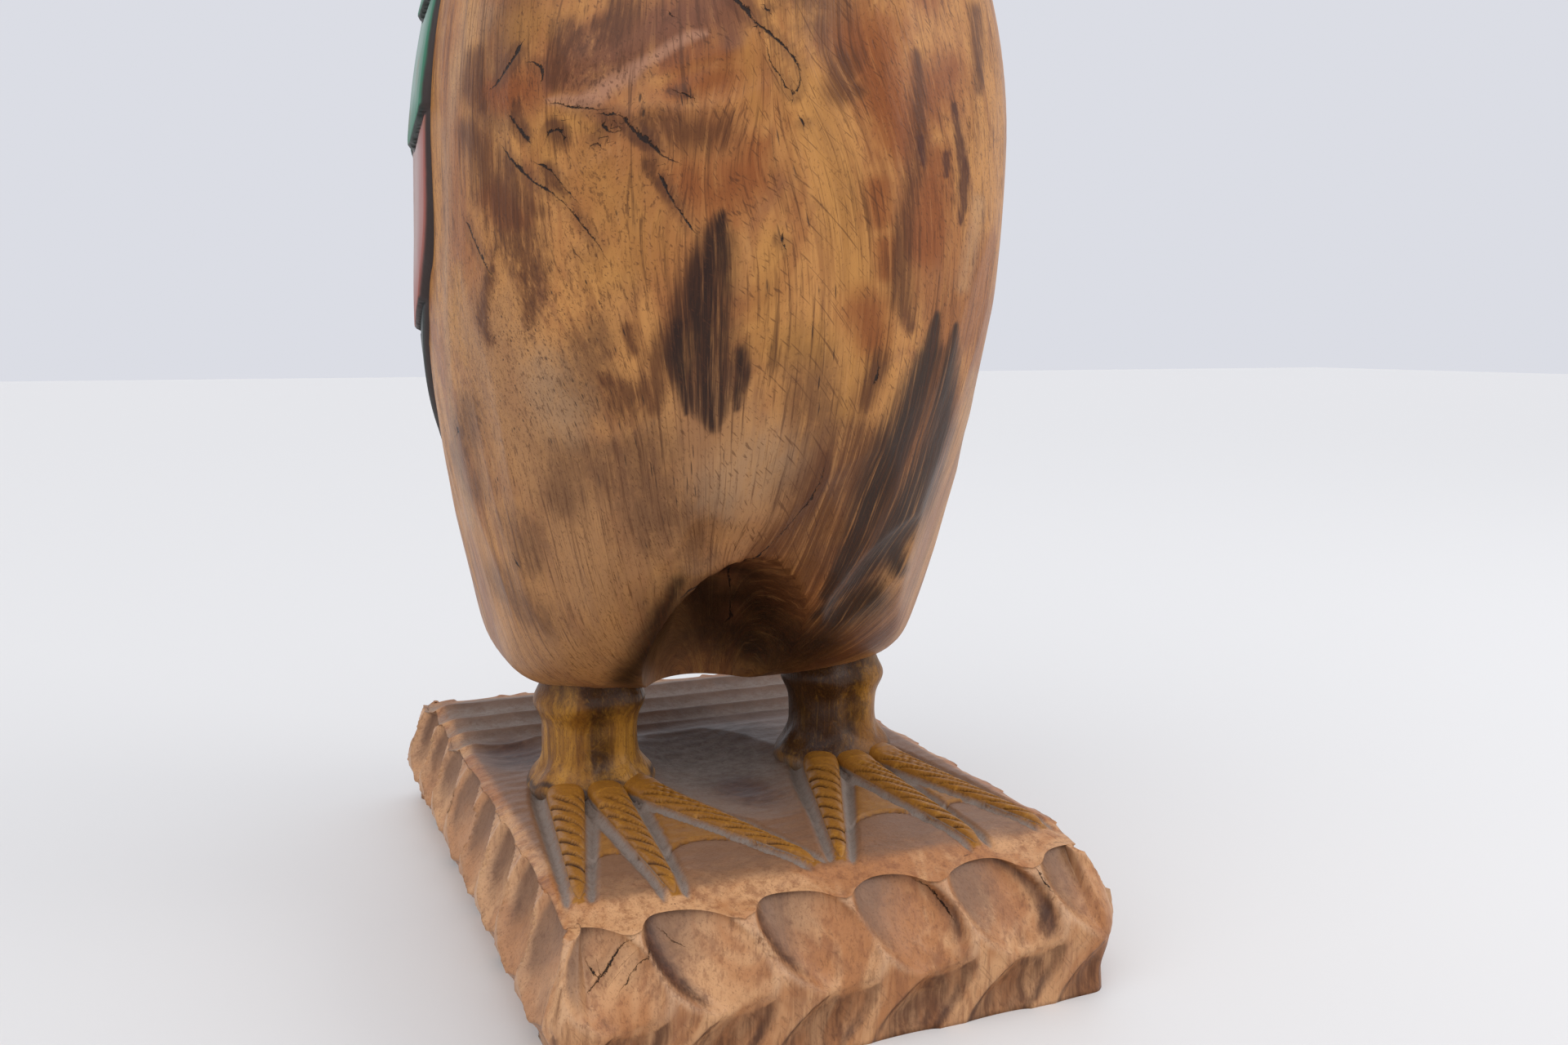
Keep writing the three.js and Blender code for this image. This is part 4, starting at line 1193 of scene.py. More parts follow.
# One closed panel: the feathers' relief over the barrel, between the wing's two edges, which rolls down
# along its border as the square root of the way in, and a plain underside sunk into the barrel.
def makeWing(name, side):
    down = np.linspace(0, 1, wing["rows"])[:, None]
    share = np.linspace(0, 1, wing["columns"])[None]
    level, lead, trail = wingEdges(down)
    z, angle = np.broadcast_arrays(level, lerp(lead, trail, share))
    width = np.radians(trail - lead) * wing["radius"]
    height, toLine, tier, rim = featherRelief(z, np.broadcast_to(share, z.shape), width)
    toBorder = np.minimum(share, 1 - share) * width
    inward = np.clip(toBorder / wing["border"], 0, 1)
    top = onTrunk(side * angle, z, height * np.sqrt(inward) - wing["borderSunk"] * (1 - inward))
    under = np.linspace(1, 0, wing["columnsUnder"])[None]
    levelUnder, angleUnder = np.broadcast_arrays(level, lerp(lead, trail, under))
    bottom = onTrunk(side * angleUnder, levelUnder, -wing["rooted"])
    rings = np.concatenate([top, bottom], 1)
    if side > 0:
        rings = rings[:, ::-1]

    def allRound(values, fill):
        whole = np.concatenate([np.broadcast_to(values, z.shape), np.full(bottom.shape[:2], fill)], 1)
        return whole[:, ::-1] if side > 0 else whole

    fields = {
        "tier": allRound(tier, 0),
        "rim": allRound(rim, 0),
        "outline": allRound(np.clip(1 - 0.5 * toLine / wing["outline"], 0, 1), 0),
        "burnt": allRound(np.clip(1 - 0.5 * toBorder / wing["burnt"], 0, 1), 1),
    }
    addRings(name, rings, fields, wingPaint)


makeWing("rightWing", -1)
makeWing("leftWing", 1)


# The tail: a flat wedge of ridged feathers below the wing tips.

tail = {
    "root": (50, 236),  # y, z
    "tip": (150, 126),
    "rootHalf": (66, 52),  # half-width and half-thickness
    "tipHalf": (40, 7),
    "squareness": 2.6,
    "feathers": 5,
    "ridge": 2.5,
    "lobe": 8,
    "taper": 14,
    "cutWidth": 2.2,  # how narrow the dark lines between the feathers are
    "cutFrom": (0.2, 0.5),  # share of the way down over which they come in
    "cutStains": {"umberAndShade": 0.9, "ebony": 0.55},
    "rows": 90,
    "columns": 180,
}


# Superellipse rings along a straight line, with a cosine ridge over
# each feather, |cos(pi * feathers * x / 2)|, and rounded ends.
def makeTail():
    t = np.linspace(0, 1, tail["rows"])[:, None]
    root, tip = np.array(tail["root"], float), np.array(tail["tip"], float)
    along = (tip - root) / np.linalg.norm(tip - root)
    outward = np.array([-along[1], along[0]])
    turn = np.linspace(0, 2 * np.pi, tail["columns"], endpoint=False)[None]
    width = lerp(tail["rootHalf"][0], tail["tipHalf"][0], t)
    thick = lerp(tail["rootHalf"][1], tail["tipHalf"][1], np.sqrt(t))
    x = width * squared(np.sin(turn), tail["squareness"])
    share = x / width
    lobe = np.abs(np.cos(np.pi * tail["feathers"] * share / 2))
    lift = thick * squared(np.cos(turn), tail["squareness"]) + tail["ridge"] * t * (lobe - 0.5)
    reach = t * t * (lobe * tail["lobe"] - tail["taper"] * share**2)
    line = root + (tip - root) * t[..., None]
    y = line[..., 0] + outward[0] * lift + along[0] * reach
    z = line[..., 1] + outward[1] * lift + along[1] * reach
    rings = np.stack([x, y, z], -1)
    cut = np.clip(1 - lobe * tail["cutWidth"], 0, 1) * smooth(t, *tail["cutFrom"])
    fields = {name: cut * amount for name, amount in tail["cutStains"].items()}
    fields["crackAcross"] = fields["splitAcross"] = uncracked
    addRings("tail", rings, fields, bodyWood)


makeTail()


# The legs: stout posts with a knuckle, a ragged flared foot and a cleft down the front.

leg = {
    "x": 62,
    "y": -20,
    "foot": 58,
    "top": 132,
    "halfWidth": 22,
    "halfDepth": 20,
    "knuckle": (104, 4, 7),  # height, swell and span
    "flare": (64, 8, 9),
    "cleft": (3.5, 0.35),  # depth, and half-angle in radians
    # ragged edge over the foot: reach, waves round the leg,
    # phase, what the side adds to it, height and span
    "rags": [(1.6, 5, 1.0, 1.0, 70, 5), (0.8, 9, 0.0, 2.0, 74, 4)],
    "uneven": (0.5, 22, 8),  # reach, wavelength and seed
    # dark wax in the cleft, painted shade at the top under the belly, and darker towards the
    # foot: the heights over which it comes in or goes, and its strength
    "cleftWax": (60, 75, 0.75),
    "shadeUnderBelly": (96, 116, 0.55),
    "darkerTowardsFoot": (72, 64, 0.5),
    # by side: where round the leg, facing the other leg, it has painted shade,
    # between which heights that begins, and how much
    "shadedInnerSide": {-1: (70, (88, 112), 0.9), 1: (-65, (60, 72), 1.0)},
    "darkSpread": (0.0, 0.8),
    # dark line under the ragged edge: height, half-width and
    # strength, and the waves it follows like the rags
    "undercut": (67, 1.5, 0.9),
    "undercutWaves": [(1.6, 5, 1.0, 1.0), (0.8, 11, 0.0, 0.0)],
    "dust": (72, 62, 0.5),
    "rows": 100,
    "columns": 140,
}


# Rings of an ellipse whose radius swells as e to the power of -((z - height) / span)^2 at the
# knuckle and the foot, drops in at the cleft, and waves where the foot's edge is ragged.
def makeLeg(name, side):
    z = np.linspace(leg["foot"], leg["top"], leg["rows"])[:, None]
    turn = np.linspace(0, 2 * np.pi, leg["columns"], endpoint=False)[None]
    swell = sum(size * np.exp(-(((z - at) / span) ** 2)) for at, size, span in (leg["knuckle"], leg["flare"]))
    fromFront = np.minimum(turn, 2 * np.pi - turn)
    depth, halfAngle = leg["cleft"]
    cleft = np.exp(-((fromFront / halfAngle) ** 2))
    ragged = 0
    for reach, count, phase, bySide, at, span in leg["rags"]:
        wave = reach * np.sin(count * turn + phase + bySide * side)
        ragged = ragged + wave * np.exp(-(((z - at) / span) ** 2))
    grow = swell - depth * cleft + ragged
    x = side * leg["x"] + (leg["halfWidth"] + grow) * np.sin(turn)
    y = leg["y"] - (leg["halfDepth"] + grow) * np.cos(turn)
    rings = np.stack(np.broadcast_arrays(x, y, z), -1)
    reach, wavelength, seed = leg["uneven"]
    rings = rings + reach * unevenness(rings, wavelength, seed + side)[..., None] * np.array([1.0, 1.0, 0.0])

    # dark wax in the cleft, painted shade under the belly and on the side facing the other leg, darker
    # towards the foot
    umberAndShade = cleft * smooth(z, *leg["cleftWax"]) + smooth(z, *leg["shadeUnderBelly"]) + smooth(z, *leg["darkerTowardsFoot"])
    darkTurn, darkStart, strength = leg["shadedInnerSide"][side]
    shadedInnerSide = smooth(np.cos(turn - np.radians(darkTurn)), *leg["darkSpread"])
    umberAndShade = np.maximum(umberAndShade, strength * shadedInnerSide * smooth(z, *darkStart))
    at, span, strength = leg["undercut"]
    undercut = z - at
    for reach, count, phase, bySide in leg["undercutWaves"]:
        undercut = undercut - reach * np.sin(count * turn + phase + bySide * side)
    umberAndShade = np.maximum(umberAndShade, strength * np.exp(-((undercut / span) ** 2)))
    fields = {"umberAndShade": umberAndShade, "dust": smooth(z, *leg["dust"])}
    fields["crackAcross"] = fields["splitAcross"] = uncracked
    addRings(name, rings, fields, legWood)


makeLeg("rightLeg", -1)
makeLeg("leftLeg", 1)


# The plinth: gouged sides, and a carved top with the toes standing up from it.

plinth = {
    "width": 250,
    "depth": 376,
    "height": 64,
    "cornerRadius": 20,
    "cornerSteps": 40,
    "slopeStart": 30,
    "slopePower": 1.5,
    "endSlope": 26,
    "sideSlope": 15,
    "endFoot": 3,
    "sideFoot": 11,
    "footHeight": 32,
    "rimDrop": 3,
    "rimDropFrom": (-5, 11),  # distance inside the rim over which its rounding rises to the flat
    "rimPower": 1.5,
    "skin": 1.1,  # the least the side lies inside the outline
    # how far into a corner its cuts begin to be shallower and are shallowest, and how much shallower
    "cornerEase": (0.05, 0.45, 0.7),
    "edgeInset": 3,  # how far inside the slope's top the grid's smooth edge lies
    "drawnCells": 18,
    # the top's edge: how far it dips into a cut of the long sides for each millimetre
    # of its depth, how much lower it lies at the ends between two ovals than over them,
    # and how often and how far it is moved towards the top's height
    "rimDip": 0.5,
    "rimArch": 3,
    "rimRounds": 12,
    "rimShare": 0.6,
    "slantGain": (3, 9),  # how much longer the sloping face is than its height, at sides and ends
    "uneven": [(0.35, 18, 11), (0.2, 7, 12)],  # reach, wavelength and seed
    "cellsAcross": 190,
    "cellsAlong": 290,
    "rowsUp": 42,
    "rowPower": 0.9,
    # cracks and slipped cuts on the front: distance along it, height and half-width
    "cracks": [
        [(-86, 54, 0), (-92, 49, 0.5), (-98, 43, 0.6), (-104, 39, 0.3)],
        [(-79, 50, 0), (-85, 45, 0.5), (-91, 39, 0.4), (-94, 36, 0)],
        [(-104, 48, 0), (-102, 44, 0.8), (-101, 42, 0)],
        [(-75, 53, 0), (-70, 48, 0.5), (-66, 46, 0)],
        [(84, 56, 0), (86, 49, 0.7), (90, 44, 0)],
        [(30, 56, 0), (37, 52, 0.5), (42, 44, 0.6), (44, 40, 0)],
    ],
}
# big oval gouge cuts round the upper edge, and leaf-shaped ones below; height is measured up the face
scoop = {
    "count": 29,
    "offset": 25,
    "height": 47,
    "halfWidth": 20.8,
    "halfHeight": 23.5,
    "lean": -0.42,
    "depth": 7.5,
    "edge": 0.6,
    "lip": 0.9,
    # how far a cut slips sideways and how much it leans into one
    # side: the most, the turn from cut to cut, the phase
    "slip": (1.4, 2.3, 0.5),
    "skew": (0.55, 1.25, 0.6),
}
leaf = {
    "height": 8,
    "halfWidth": 16,
    "halfHeight": 22,
    "lean": 0.75,
    "depth": 5,
    "edge": 0.65,
    "lip": 0.3,
    "skew": 0.35,
    "fade": (-6, 12),  # heights over which the leaves come in above the floor
    "lipShare": 0.5,
}
gouge = {"power": 1.3, "shallowest": 0.25, "lipAt": 1.05, "lipSpan": 0.09}
ground = {
    # x, y, half-width, half-length, depth and dust of the hollow and of the dimple
    "bowls": [(0, -28, 40, 74, 6, 0.75), (-86, 38, 20, 34, 3.5, 0)],
    "flute": (28, 172, 6, 0.72, 3.6),  # from y, to y, count, bunching and depth
    "fluteFade": 0.35,
    "fluteDust": (30, 60, 0.62),  # the y over which it comes in, and its strength
    "frontDip": (140, 180, 4),
    "uneven": (0.25, 26, 5),  # reach, wavelength and seed
    "unevenStretch": (1, 2.5, 1),
    "grooveDust": 2.2,  # depth of groove that is full of dust
    "bruises": [(-84, 42, 14, 32), (4, -50, 16, 30)],  # x, y, half-width and half-length
    "bruiseWax": 0.75,
    "shade": (1, 10, 1.3),  # distances from the rim over which it comes in, and its strength
    "frontShade": (100, 160, 0.45),  # from where the front is lighter, and how much
    # painted shade with dust under the bird: a spot between the legs, x, y, half-width and half-length, more
    # of it towards the back, and where it comes in inside the rim
    "shadeAndDust": (4, -12, 34, 40),
    "backShadeAndDust": (-20, 30, 0.5),
    "shadeAndDustFrom": (3, 16),
}
toe = {
    # base and tip of each toe of the left foot; the right foot is its mirror image
    "runs": [((44, -48), (6, -152)), ((62, -52), (66, -157)), ((80, -44), (101, -151))],
    "half": (7.6, 2),
    "rise": (6, 2),
    "squareness": 2.6,
    "swell": 1.12,  # width of the toe, as a share of the plinth's own ridge under it
    "start": -0.1,  # shares of the run where the toe begins and where its end is rounded
    "rounded": 0.9,
    "core": 2,  # how much lower the plinth's own ridge is than the toe laid over it
    "coreRun": (-0.12, 1.02),
    "sunk": 6,
    "notchHeading": 28,  # degrees all the notches are turned from the bird's front towards its left
    "notchSlant": 2.6,  # the most a notch runs along its toe for each millimetre across
    "notchPitch": 12,
    "notchShare": 0.5,
    "notchPower": 1.5,
    "notchDepth": 2.4,
    "notchTaper": 0.5,
    "notchUneven": (0.1, 25, 21),  # reach in notches, wavelength and seed
    # where the notches begin, by height up the toe and by share of its run, and where they end
    "notchHigh": (0.2, 0.6),
    "notchFrom": (0.02, 0.1),
    "notchTo": (0.86, 0.97),
    "ochreFrom": (-0.1, 0.25),  # by height up the toe
    "dust": (0.35, 0.0, 0.8),
    "wax": (0.15, -0.02, 0.85),  # the shares of the run over which it goes, and its strength
    "rows": 260,
    "columns": 44,
    "groove": (4.2, 4.5),  # half-width and depth
    "grooveTaper": 0.4,
    "grooveOff": 1.05,  # distance from the toe's line to the groove, in half-widths of the toe
    "grooveFrom": (-0.3, -0.05),
    "grooveTo": (0.97, 1.06),
    "grooveStain": (0.4, 0.2),  # depth past which the groove keeps only so much of the stain
}
web = {
    "front": -131,  # y of the web's edge at the toes, and how far it curves back between them
    "curve": 17,
    "back": -45,
    "rise": 0.8,
    "cut": (1.6, 1.4),  # depth and half-width
    "cutWax": (0.85, 1.6),
    "stain": 0.5,
}


# A round spot, e to the power of -(dx / a)^2 - (dy / b)^2: 1 in its middle and fading outwards.
def softSpot(x, y, spot):
    centreX, centreY, halfX, halfY = spot
    return np.exp(-(((x - centreX) / halfX) ** 2) - ((y - centreY) / halfY) ** 2)


# Relief of the feet on the flat top at x, y: each toe a ridge, high * sqrt(1 - c^2)
# across, with a V-groove on either side of it. Returns height, groove depth and stain.
def footRelief(x, y):
    rise = np.full_like(x, -far)
    groove, stain = np.zeros_like(x), np.zeros_like(x)
    for side in (-1, 1):
        for base, tip in toe["runs"]:
            start = np.array([side * base[0], base[1]])
            run = np.array([side * tip[0], tip[1]]) - start
            length = np.hypot(*run)
            run = run / length
            t = ((x - start[0]) * run[0] + (y - start[1]) * run[1]) / length
            q = (x - start[0]) * -run[1] + (y - start[1]) * run[0]
            inRange = np.clip(t, 0, 1)
            half = lerp(toe["half"][0], toe["half"][1], inRange)
            high = lerp(toe["rise"][0], toe["rise"][1], np.sqrt(inRange))
            c = np.clip(np.abs(q) / half, 0, 1)
            onToe = (t > toe["coreRun"][0]) & (t < toe["coreRun"][1]) & (c < 1)
            ridge = (high - toe["core"]) * np.sqrt(1 - c**2)
            rise = np.where(onToe, np.maximum(rise, ridge), rise)
            stain = np.where(onToe, 1.0, stain)
            grooveHalf, grooveDepth = toe["groove"]
            taper = 1 - toe["grooveTaper"] * inRange
            wide = grooveHalf * taper
            fromLine = np.abs(np.abs(q) - toe["grooveOff"] * half - wide)
            ends = smooth(t, *toe["grooveFrom"]) * (1 - smooth(t, *toe["grooveTo"]))
            depth = grooveDepth * taper * np.maximum(0, 1 - fromLine / wide) * ends
            groove = np.maximum(groove, depth)
    return rise, groove, stain


# Where the webs are: 1 between two neighbouring toes as far as an edge that curves back by 1 -
# (2u - 1)^2, with u the share of the way from toe to toe, and the distance to that edge.
def webShare(x, y):
    inside = np.zeros_like(x)
    edge = np.full_like(x, far)
    for side in (-1, 1):
        for pair in zip(toe["runs"][:-1], toe["runs"][1:]):
            first, second = (lerp(base[0], tip[0], (y - base[1]) / (tip[1] - base[1])) for base, tip in pair)
            u = (side * x - first) / np.maximum(second - first, 1)
            arc = web["front"] + web["curve"] * (1 - (2 * u - 1) ** 2)
            between = (u > 0) & (u < 1) & (y < web["back"])
            inside = np.where(between & (y > arc), 1.0, inside)
            edge = np.where(between, np.minimum(edge, np.abs(y - arc)), edge)
    return inside, edge


# How far inside the top's edge a point lies: the radius less the distance past a corner's centre.
def insideRim(x, y):
    radius = plinth["cornerRadius"]
    over = np.abs(x) - (plinth["width"] / 2 - plinth["sideSlope"] - radius)
    ahead = np.abs(y) - (plinth["depth"] / 2 - plinth["endSlope"] - radius)
    corner = np.hypot(np.maximum(over, 0), np.maximum(ahead, 0))
    return radius - corner - np.minimum(np.maximum(over, ahead), 0)


# Height of the top before the feet: flat, less the bowls depth * (1 - r^2), the flutes depth * |sin|, the
# dip in front and the rim's rounding. Also its dust, and how far inside the rim each point lies.
def groundHeight(x, y):
    z = np.full_like(x, float(plinth["height"]))
    dust = np.zeros_like(x)
    for centreX, centreY, halfX, halfY, depth, dusty in ground["bowls"]:
        bowl = np.maximum(0, 1 - ((x - centreX) / halfX) ** 2 - ((y - centreY) / halfY) ** 2)
        z = z - depth * bowl
        dust = np.maximum(dust, dusty * np.sqrt(bowl))
    z = z - smooth(-y, *ground["frontDip"])
    begin, finish, count, bunching, depth = ground["flute"]
    along = np.clip((y - begin) / (finish - begin), 0, 1)
    wave = np.abs(np.sin(np.pi * count * along**bunching)) * smooth(along, 0, ground["fluteFade"])
    z = z - depth * wave
    dust = np.maximum(dust, wave * smooth(y, *ground["fluteDust"]))
    toRim = insideRim(x, y)
    z = z - plinth["rimDrop"] * (1 - smooth(toRim, *plinth["rimDropFrom"])) ** plinth["rimPower"]
    return z, dust, toRim


# Height of the top with the feet cut into it, and its stains and painted shade: the ground, plus the webs,
# less the V-cuts at their edges and beside the toes, plus the toes' ridges and a gentle unevenness.
def topHeight(x, y):
    z, dust, toRim = groundHeight(x, y)
    rise, groove, stain = footRelief(x, y)
    onWeb, edge = webShare(x, y)
    cutDepth, cutHalf = web["cut"]
    level = z + web["rise"] * onWeb - cutDepth * np.maximum(0, 1 - edge / cutHalf)
    onToe = rise > -far
    z = np.where(onToe, np.maximum(level - groove, level + rise), level - groove)
    reach, wavelength, seed = ground["uneven"]
    points = np.stack([x, y, 0 * x], -1) * np.array(ground["unevenStretch"])
    z = z + reach * unevenness(points, wavelength, seed)

    bruise = sum(softSpot(x, y, spot) for spot in ground["bruises"])
    dust = np.maximum(dust * (1 - bruise), np.clip(groove / ground["grooveDust"], 0, 1))
    deep, left = toe["grooveStain"]
    stain = np.where(groove > deep, left, np.maximum(stain, web["stain"] * onWeb))
    wax, waxHalf = web["cutWax"]
    umberAndShade = np.maximum(wax * np.maximum(0, 1 - edge / waxHalf), ground["bruiseWax"] * bruise)
    shade = smooth(toRim, *ground["shade"]) * (1 - smooth(-y, *ground["frontShade"]))
    # painted shade with dust under the bird, between the legs and towards the back
    shadeAndDust = softSpot(x, y, ground["shadeAndDust"]) + smooth(y, *ground["backShadeAndDust"])
    shadeAndDust = shadeAndDust * smooth(toRim, *ground["shadeAndDustFrom"])
    dust = np.where(onToe, 0, dust)
    return z, {"dust": dust, "ochre": stain, "umberAndShade": umberAndShade, "shade": shade, "shadeAndDust": shadeAndDust}


# Points and outward directions along a rounded rectangle, at distances from
# the middle of its front: the places of its corners' arcs, joined up and
# looked up by the length run so far. Also the whole length round.
def outlineAt(distance):
    radius = plinth["cornerRadius"]
    halfX, halfY = plinth["width"] / 2 - radius, plinth["depth"] / 2 - radius
    angles = np.linspace(-np.pi / 2, 0, plinth["cornerSteps"])
    corners = [(halfX, -halfY), (halfX, halfY), (-halfX, halfY), (-halfX, -halfY)]
    places, normals = [np.array([[0, -halfY - radius]])], [np.array([[0.0, -1.0]])]
    for i, corner in enumerate(corners):
        facing = np.stack([np.cos(angles + i * np.pi / 2), np.sin(angles + i * np.pi / 2)], -1)
        places.append(np.array(corner) + radius * facing)
        normals.append(facing)
    places.append(places[0])
    normals.append(normals[0])
    places, normals = np.concatenate(places), np.concatenate(normals)
    run = np.concatenate([[0], np.cumsum(np.linalg.norm(np.diff(places, axis=0), axis=1))])
    distance = np.mod(distance, run[-1])
    place = np.stack([np.interp(distance, run, places[:, k]) for k in range(2)], -1)
    normal = np.stack([np.interp(distance, run, normals[:, k]) for k in range(2)], -1)
    return place, normal, run[-1]


# Depth of one of a row of leaning oval cuts, d * (1 - r^2) to powers that keep its edge crisp, with a lip
# of wood pushed up round it. Skew moves its depth to one side, where its wall is then steep. Also r^2.
def gougeCut(cut, s, up, pitch, skew):
    shifted = s - cut["lean"] * (up - cut["height"])
    across = (shifted - pitch * np.round(shifted / pitch)) / cut["halfWidth"]
    along = (up - cut["height"]) / cut["halfHeight"]
    reach = across**2 + along**2
    bowl = np.maximum(0, 1 - reach ** gouge["power"]) ** cut["edge"]
    bowl = bowl * np.maximum(gouge["shallowest"], 1 + skew * across)
    lip = cut["lip"] * np.exp(-(((np.sqrt(reach) - gouge["lipAt"]) / gouge["lipSpan"]) ** 2))
    return cut["depth"] * bowl, lip, reach


# How far the side lies inside the outline at distance s round it and height z:
# its slope, which grows as a power of the height, and its foot, plus the deeper
# of the two cuts, less the lip of the oval. Also where its cuts are.
def sideInset(s, z, pitch, normal):
    endwise = np.abs(normal[..., 1])
    rise = np.clip((z - plinth["slopeStart"]) / (plinth["height"] - plinth["slopeStart"]), 0, 1)
    rise = rise ** plinth["slopePower"]
    slope = lerp(plinth["sideSlope"], plinth["endSlope"], endwise) * rise
    foot = lerp(plinth["sideFoot"], plinth["endFoot"], endwise) * (1 - smooth(z, 0, plinth["footHeight"]))
    up = z + lerp(*plinth["slantGain"], endwise) * rise
    number = np.round((s - scoop["offset"] - scoop["lean"] * (up - scoop["height"])) / pitch)
    most, step, phase = np.array([scoop["slip"], scoop["skew"]]).T[..., None]
    slip, skew = most * np.sin(step * number[None] + phase)
    upper, lip, reach = gougeCut(scoop, s - scoop["offset"] + slip, up, pitch, skew)
    lower, lowerLip, lowerReach = gougeCut(leaf, s - scoop["offset"], up, pitch, leaf["skew"])
    eased = 1 - smooth(np.minimum(np.abs(normal[..., 0]), endwise), *plinth["cornerEase"])
    upper, lip, lowerLip = upper * eased, lip * eased, lowerLip * eased
    lower = lower * eased * smooth(z, *leaf["fade"])
    lips = np.where(lower > 0, 0, lip) + leaf["lipShare"] * lowerLip * (upper <= 0)
    inset = slope + foot + plinth["skin"] + np.maximum(upper, lower) - lips
    middle = scoop["offset"] - slip + scoop["lean"] * (up - scoop["height"]) + pitch * number
    sideways = (s - middle) / pitch * 2
    return np.maximum(inset, plinth["skin"]), upper, reach, lowerReach, skew, sideways


# A grid filled in from the values on its closed edge, each side's share of it
# falling by its weight: the four sides times their weights, less the four
# corners' products. The weights are front, back, left and right.
def coons(edge, across, along, weights):
    onFront, onBack, onLeft, onRight = weights
    front, right = edge[: across + 1], edge[across : across + along + 1]
    back = edge[across + along : 2 * across + along + 1][::-1]
    left = np.concatenate([edge[2 * across + along :], edge[:1]])[::-1]
    filled = onFront * front[None] + onBack * back[None] + onLeft * left[:, None] + onRight * right[:, None]
    filled = filled - onLeft * (onFront * front[0] + onBack * back[0])
    return filled - onRight * (onFront * front[-1] + onBack * back[-1])


sideStain = {
    # painted highlight on the ridges between the ovals: strength, place
    # and half-width by reach, and the heights it begins
    "ridge": (0.62, 1.06, 0.1),
    "ridgeFrom": (18, 34),
    # painted highlight over the long sides, which are lighter than the ends
    "longSides": 0.45,
    # shade in the top of each oval: strength, how far it leans with the
    # light, where it begins and is full, and by reach where it ends
    "shade": (0.88, 6, 0.7),
    "shadeFrom": (-0.3, 0.9),
    "shadeTo": (0.85, 1.0),
    # painted shade on the steep wall of an oval, and dark wax on the wall of a leaf and in its bed
    "wall": (0.85, (0.5, 0.88), (0.88, 1.03), (0.08, 0.4)),
    "leafWall": (0.6, 0.9, 0.14, 1.1),
    "leafBed": (0.45, (0.6, 1.0), (1.0, 1.15)),
    # how much of the wax and painted shade the long sides keep
    "waxAndShadeOnSides": 0.4,
    # charred spots along the right side's foot: strength, gap,
    # place, half-width, heights and how square to the side
    "char": (0.85, 63, 30, 9, (4, 16), (0.5, 0.9)),
}


# Stains, painted highlights and painted shade of the side, from the places of its cuts: reach is 0
# in the middle of an oval and 1 at its edge, and sideways is -1 at one side of an oval's pitch and 1 at the
# other.
def sideFields(s, z, normal, reach, lowerReach, skew, sideways):
    endwise = np.abs(normal[:, 1])
    reach, lowerReach = np.sqrt(reach), np.sqrt(lowerReach)
    strength, place, half = sideStain["ridge"]
    ridge = strength * (np.exp(-(((reach - place) / half) ** 2)) * smooth(z, *sideStain["ridgeFrom"]))
    strength, lower, lean = sideStain["shade"]
    towardsTop = (z - scoop["height"] + lower) / scoop["halfHeight"] - lean * sideways
    shade = strength * smooth(towardsTop, *sideStain["shadeFrom"])
    shade = shade * (1 - smooth(reach, *sideStain["shadeTo"]))
    # painted shade on the steep wall of each oval
    strength, begins, ends, leaning = sideStain["wall"]
    steep = smooth(skew * sideways, *leaning)
    wall = strength * (smooth(reach, *begins) * (1 - smooth(reach, *ends)) * steep)
    strength, place, half, outside = sideStain["leafWall"]
    leafWall = strength * (np.exp(-(((lowerReach - place) / half) ** 2)) * (reach > outside))
    strength, inside, outside = sideStain["leafBed"]
    leafBed = strength * ((1 - smooth(lowerReach, *inside)) * smooth(reach, *outside))
    waxAndShade = np.maximum(np.maximum(wall, leafWall), leafBed)
    strength, gap, place, half, heights, square = sideStain["char"]
    dark = np.exp(-(((np.mod(s, gap) - place) / half) ** 2)) * (1 - smooth(z, *heights))
    return {
        "paintedHighlight": np.maximum(ridge, sideStain["longSides"] * (1 - endwise)),
        "shade": shade,
        "umberAndShade": waxAndShade * lerp(sideStain["waxAndShadeOnSides"], 1, endwise),
        "char": strength * dark * smooth(-normal[:, 0], *square),
    }


# Rings of the side from the underside to the ragged top edge, which is drawn step by step to
# the top's height, less its dip. Also the dip, and the side's fields ring by ring.
def plinthSide(s, outline, normal, pitch):
    def sideAt(z):
        inset, *where = sideInset(s, np.minimum(z, plinth["height"]), pitch, normal)
        return outline - normal * inset[..., None], *where

    rim = np.full(len(s), float(plinth["height"]))
    for _ in range(plinth["rimRounds"]):
        place, cut, *_, sideways = sideAt(rim)
        dip = lerp(plinth["rimDip"] * cut, plinth["rimArch"] * sideways**2, np.abs(normal[:, 1]))
        rim = lerp(rim, topHeight(place[:, 0], place[:, 1])[0] - dip, plinth["rimShare"])
    rings, fields = [], []
    for share in np.linspace(0, 1, plinth["rowsUp"] + 1) ** plinth["rowPower"]:
        z = rim * share
        place, _, *where = sideAt(z)
        ring = np.concatenate([place, z[:, None]], 1)
        if 0 < share < 1:
            rough = sum(high * unevenness(ring, *wave) for high, *wave in plinth["uneven"])
            ring[:, :2] -= normal * (rough * np.sin(np.pi * share))[:, None]
        rings.append(ring)
        fields.append(sideFields(s, z, normal, *where))
    return np.array(rings), dip, {name: np.array([field[name] for field in fields]) for name in fields[0]}


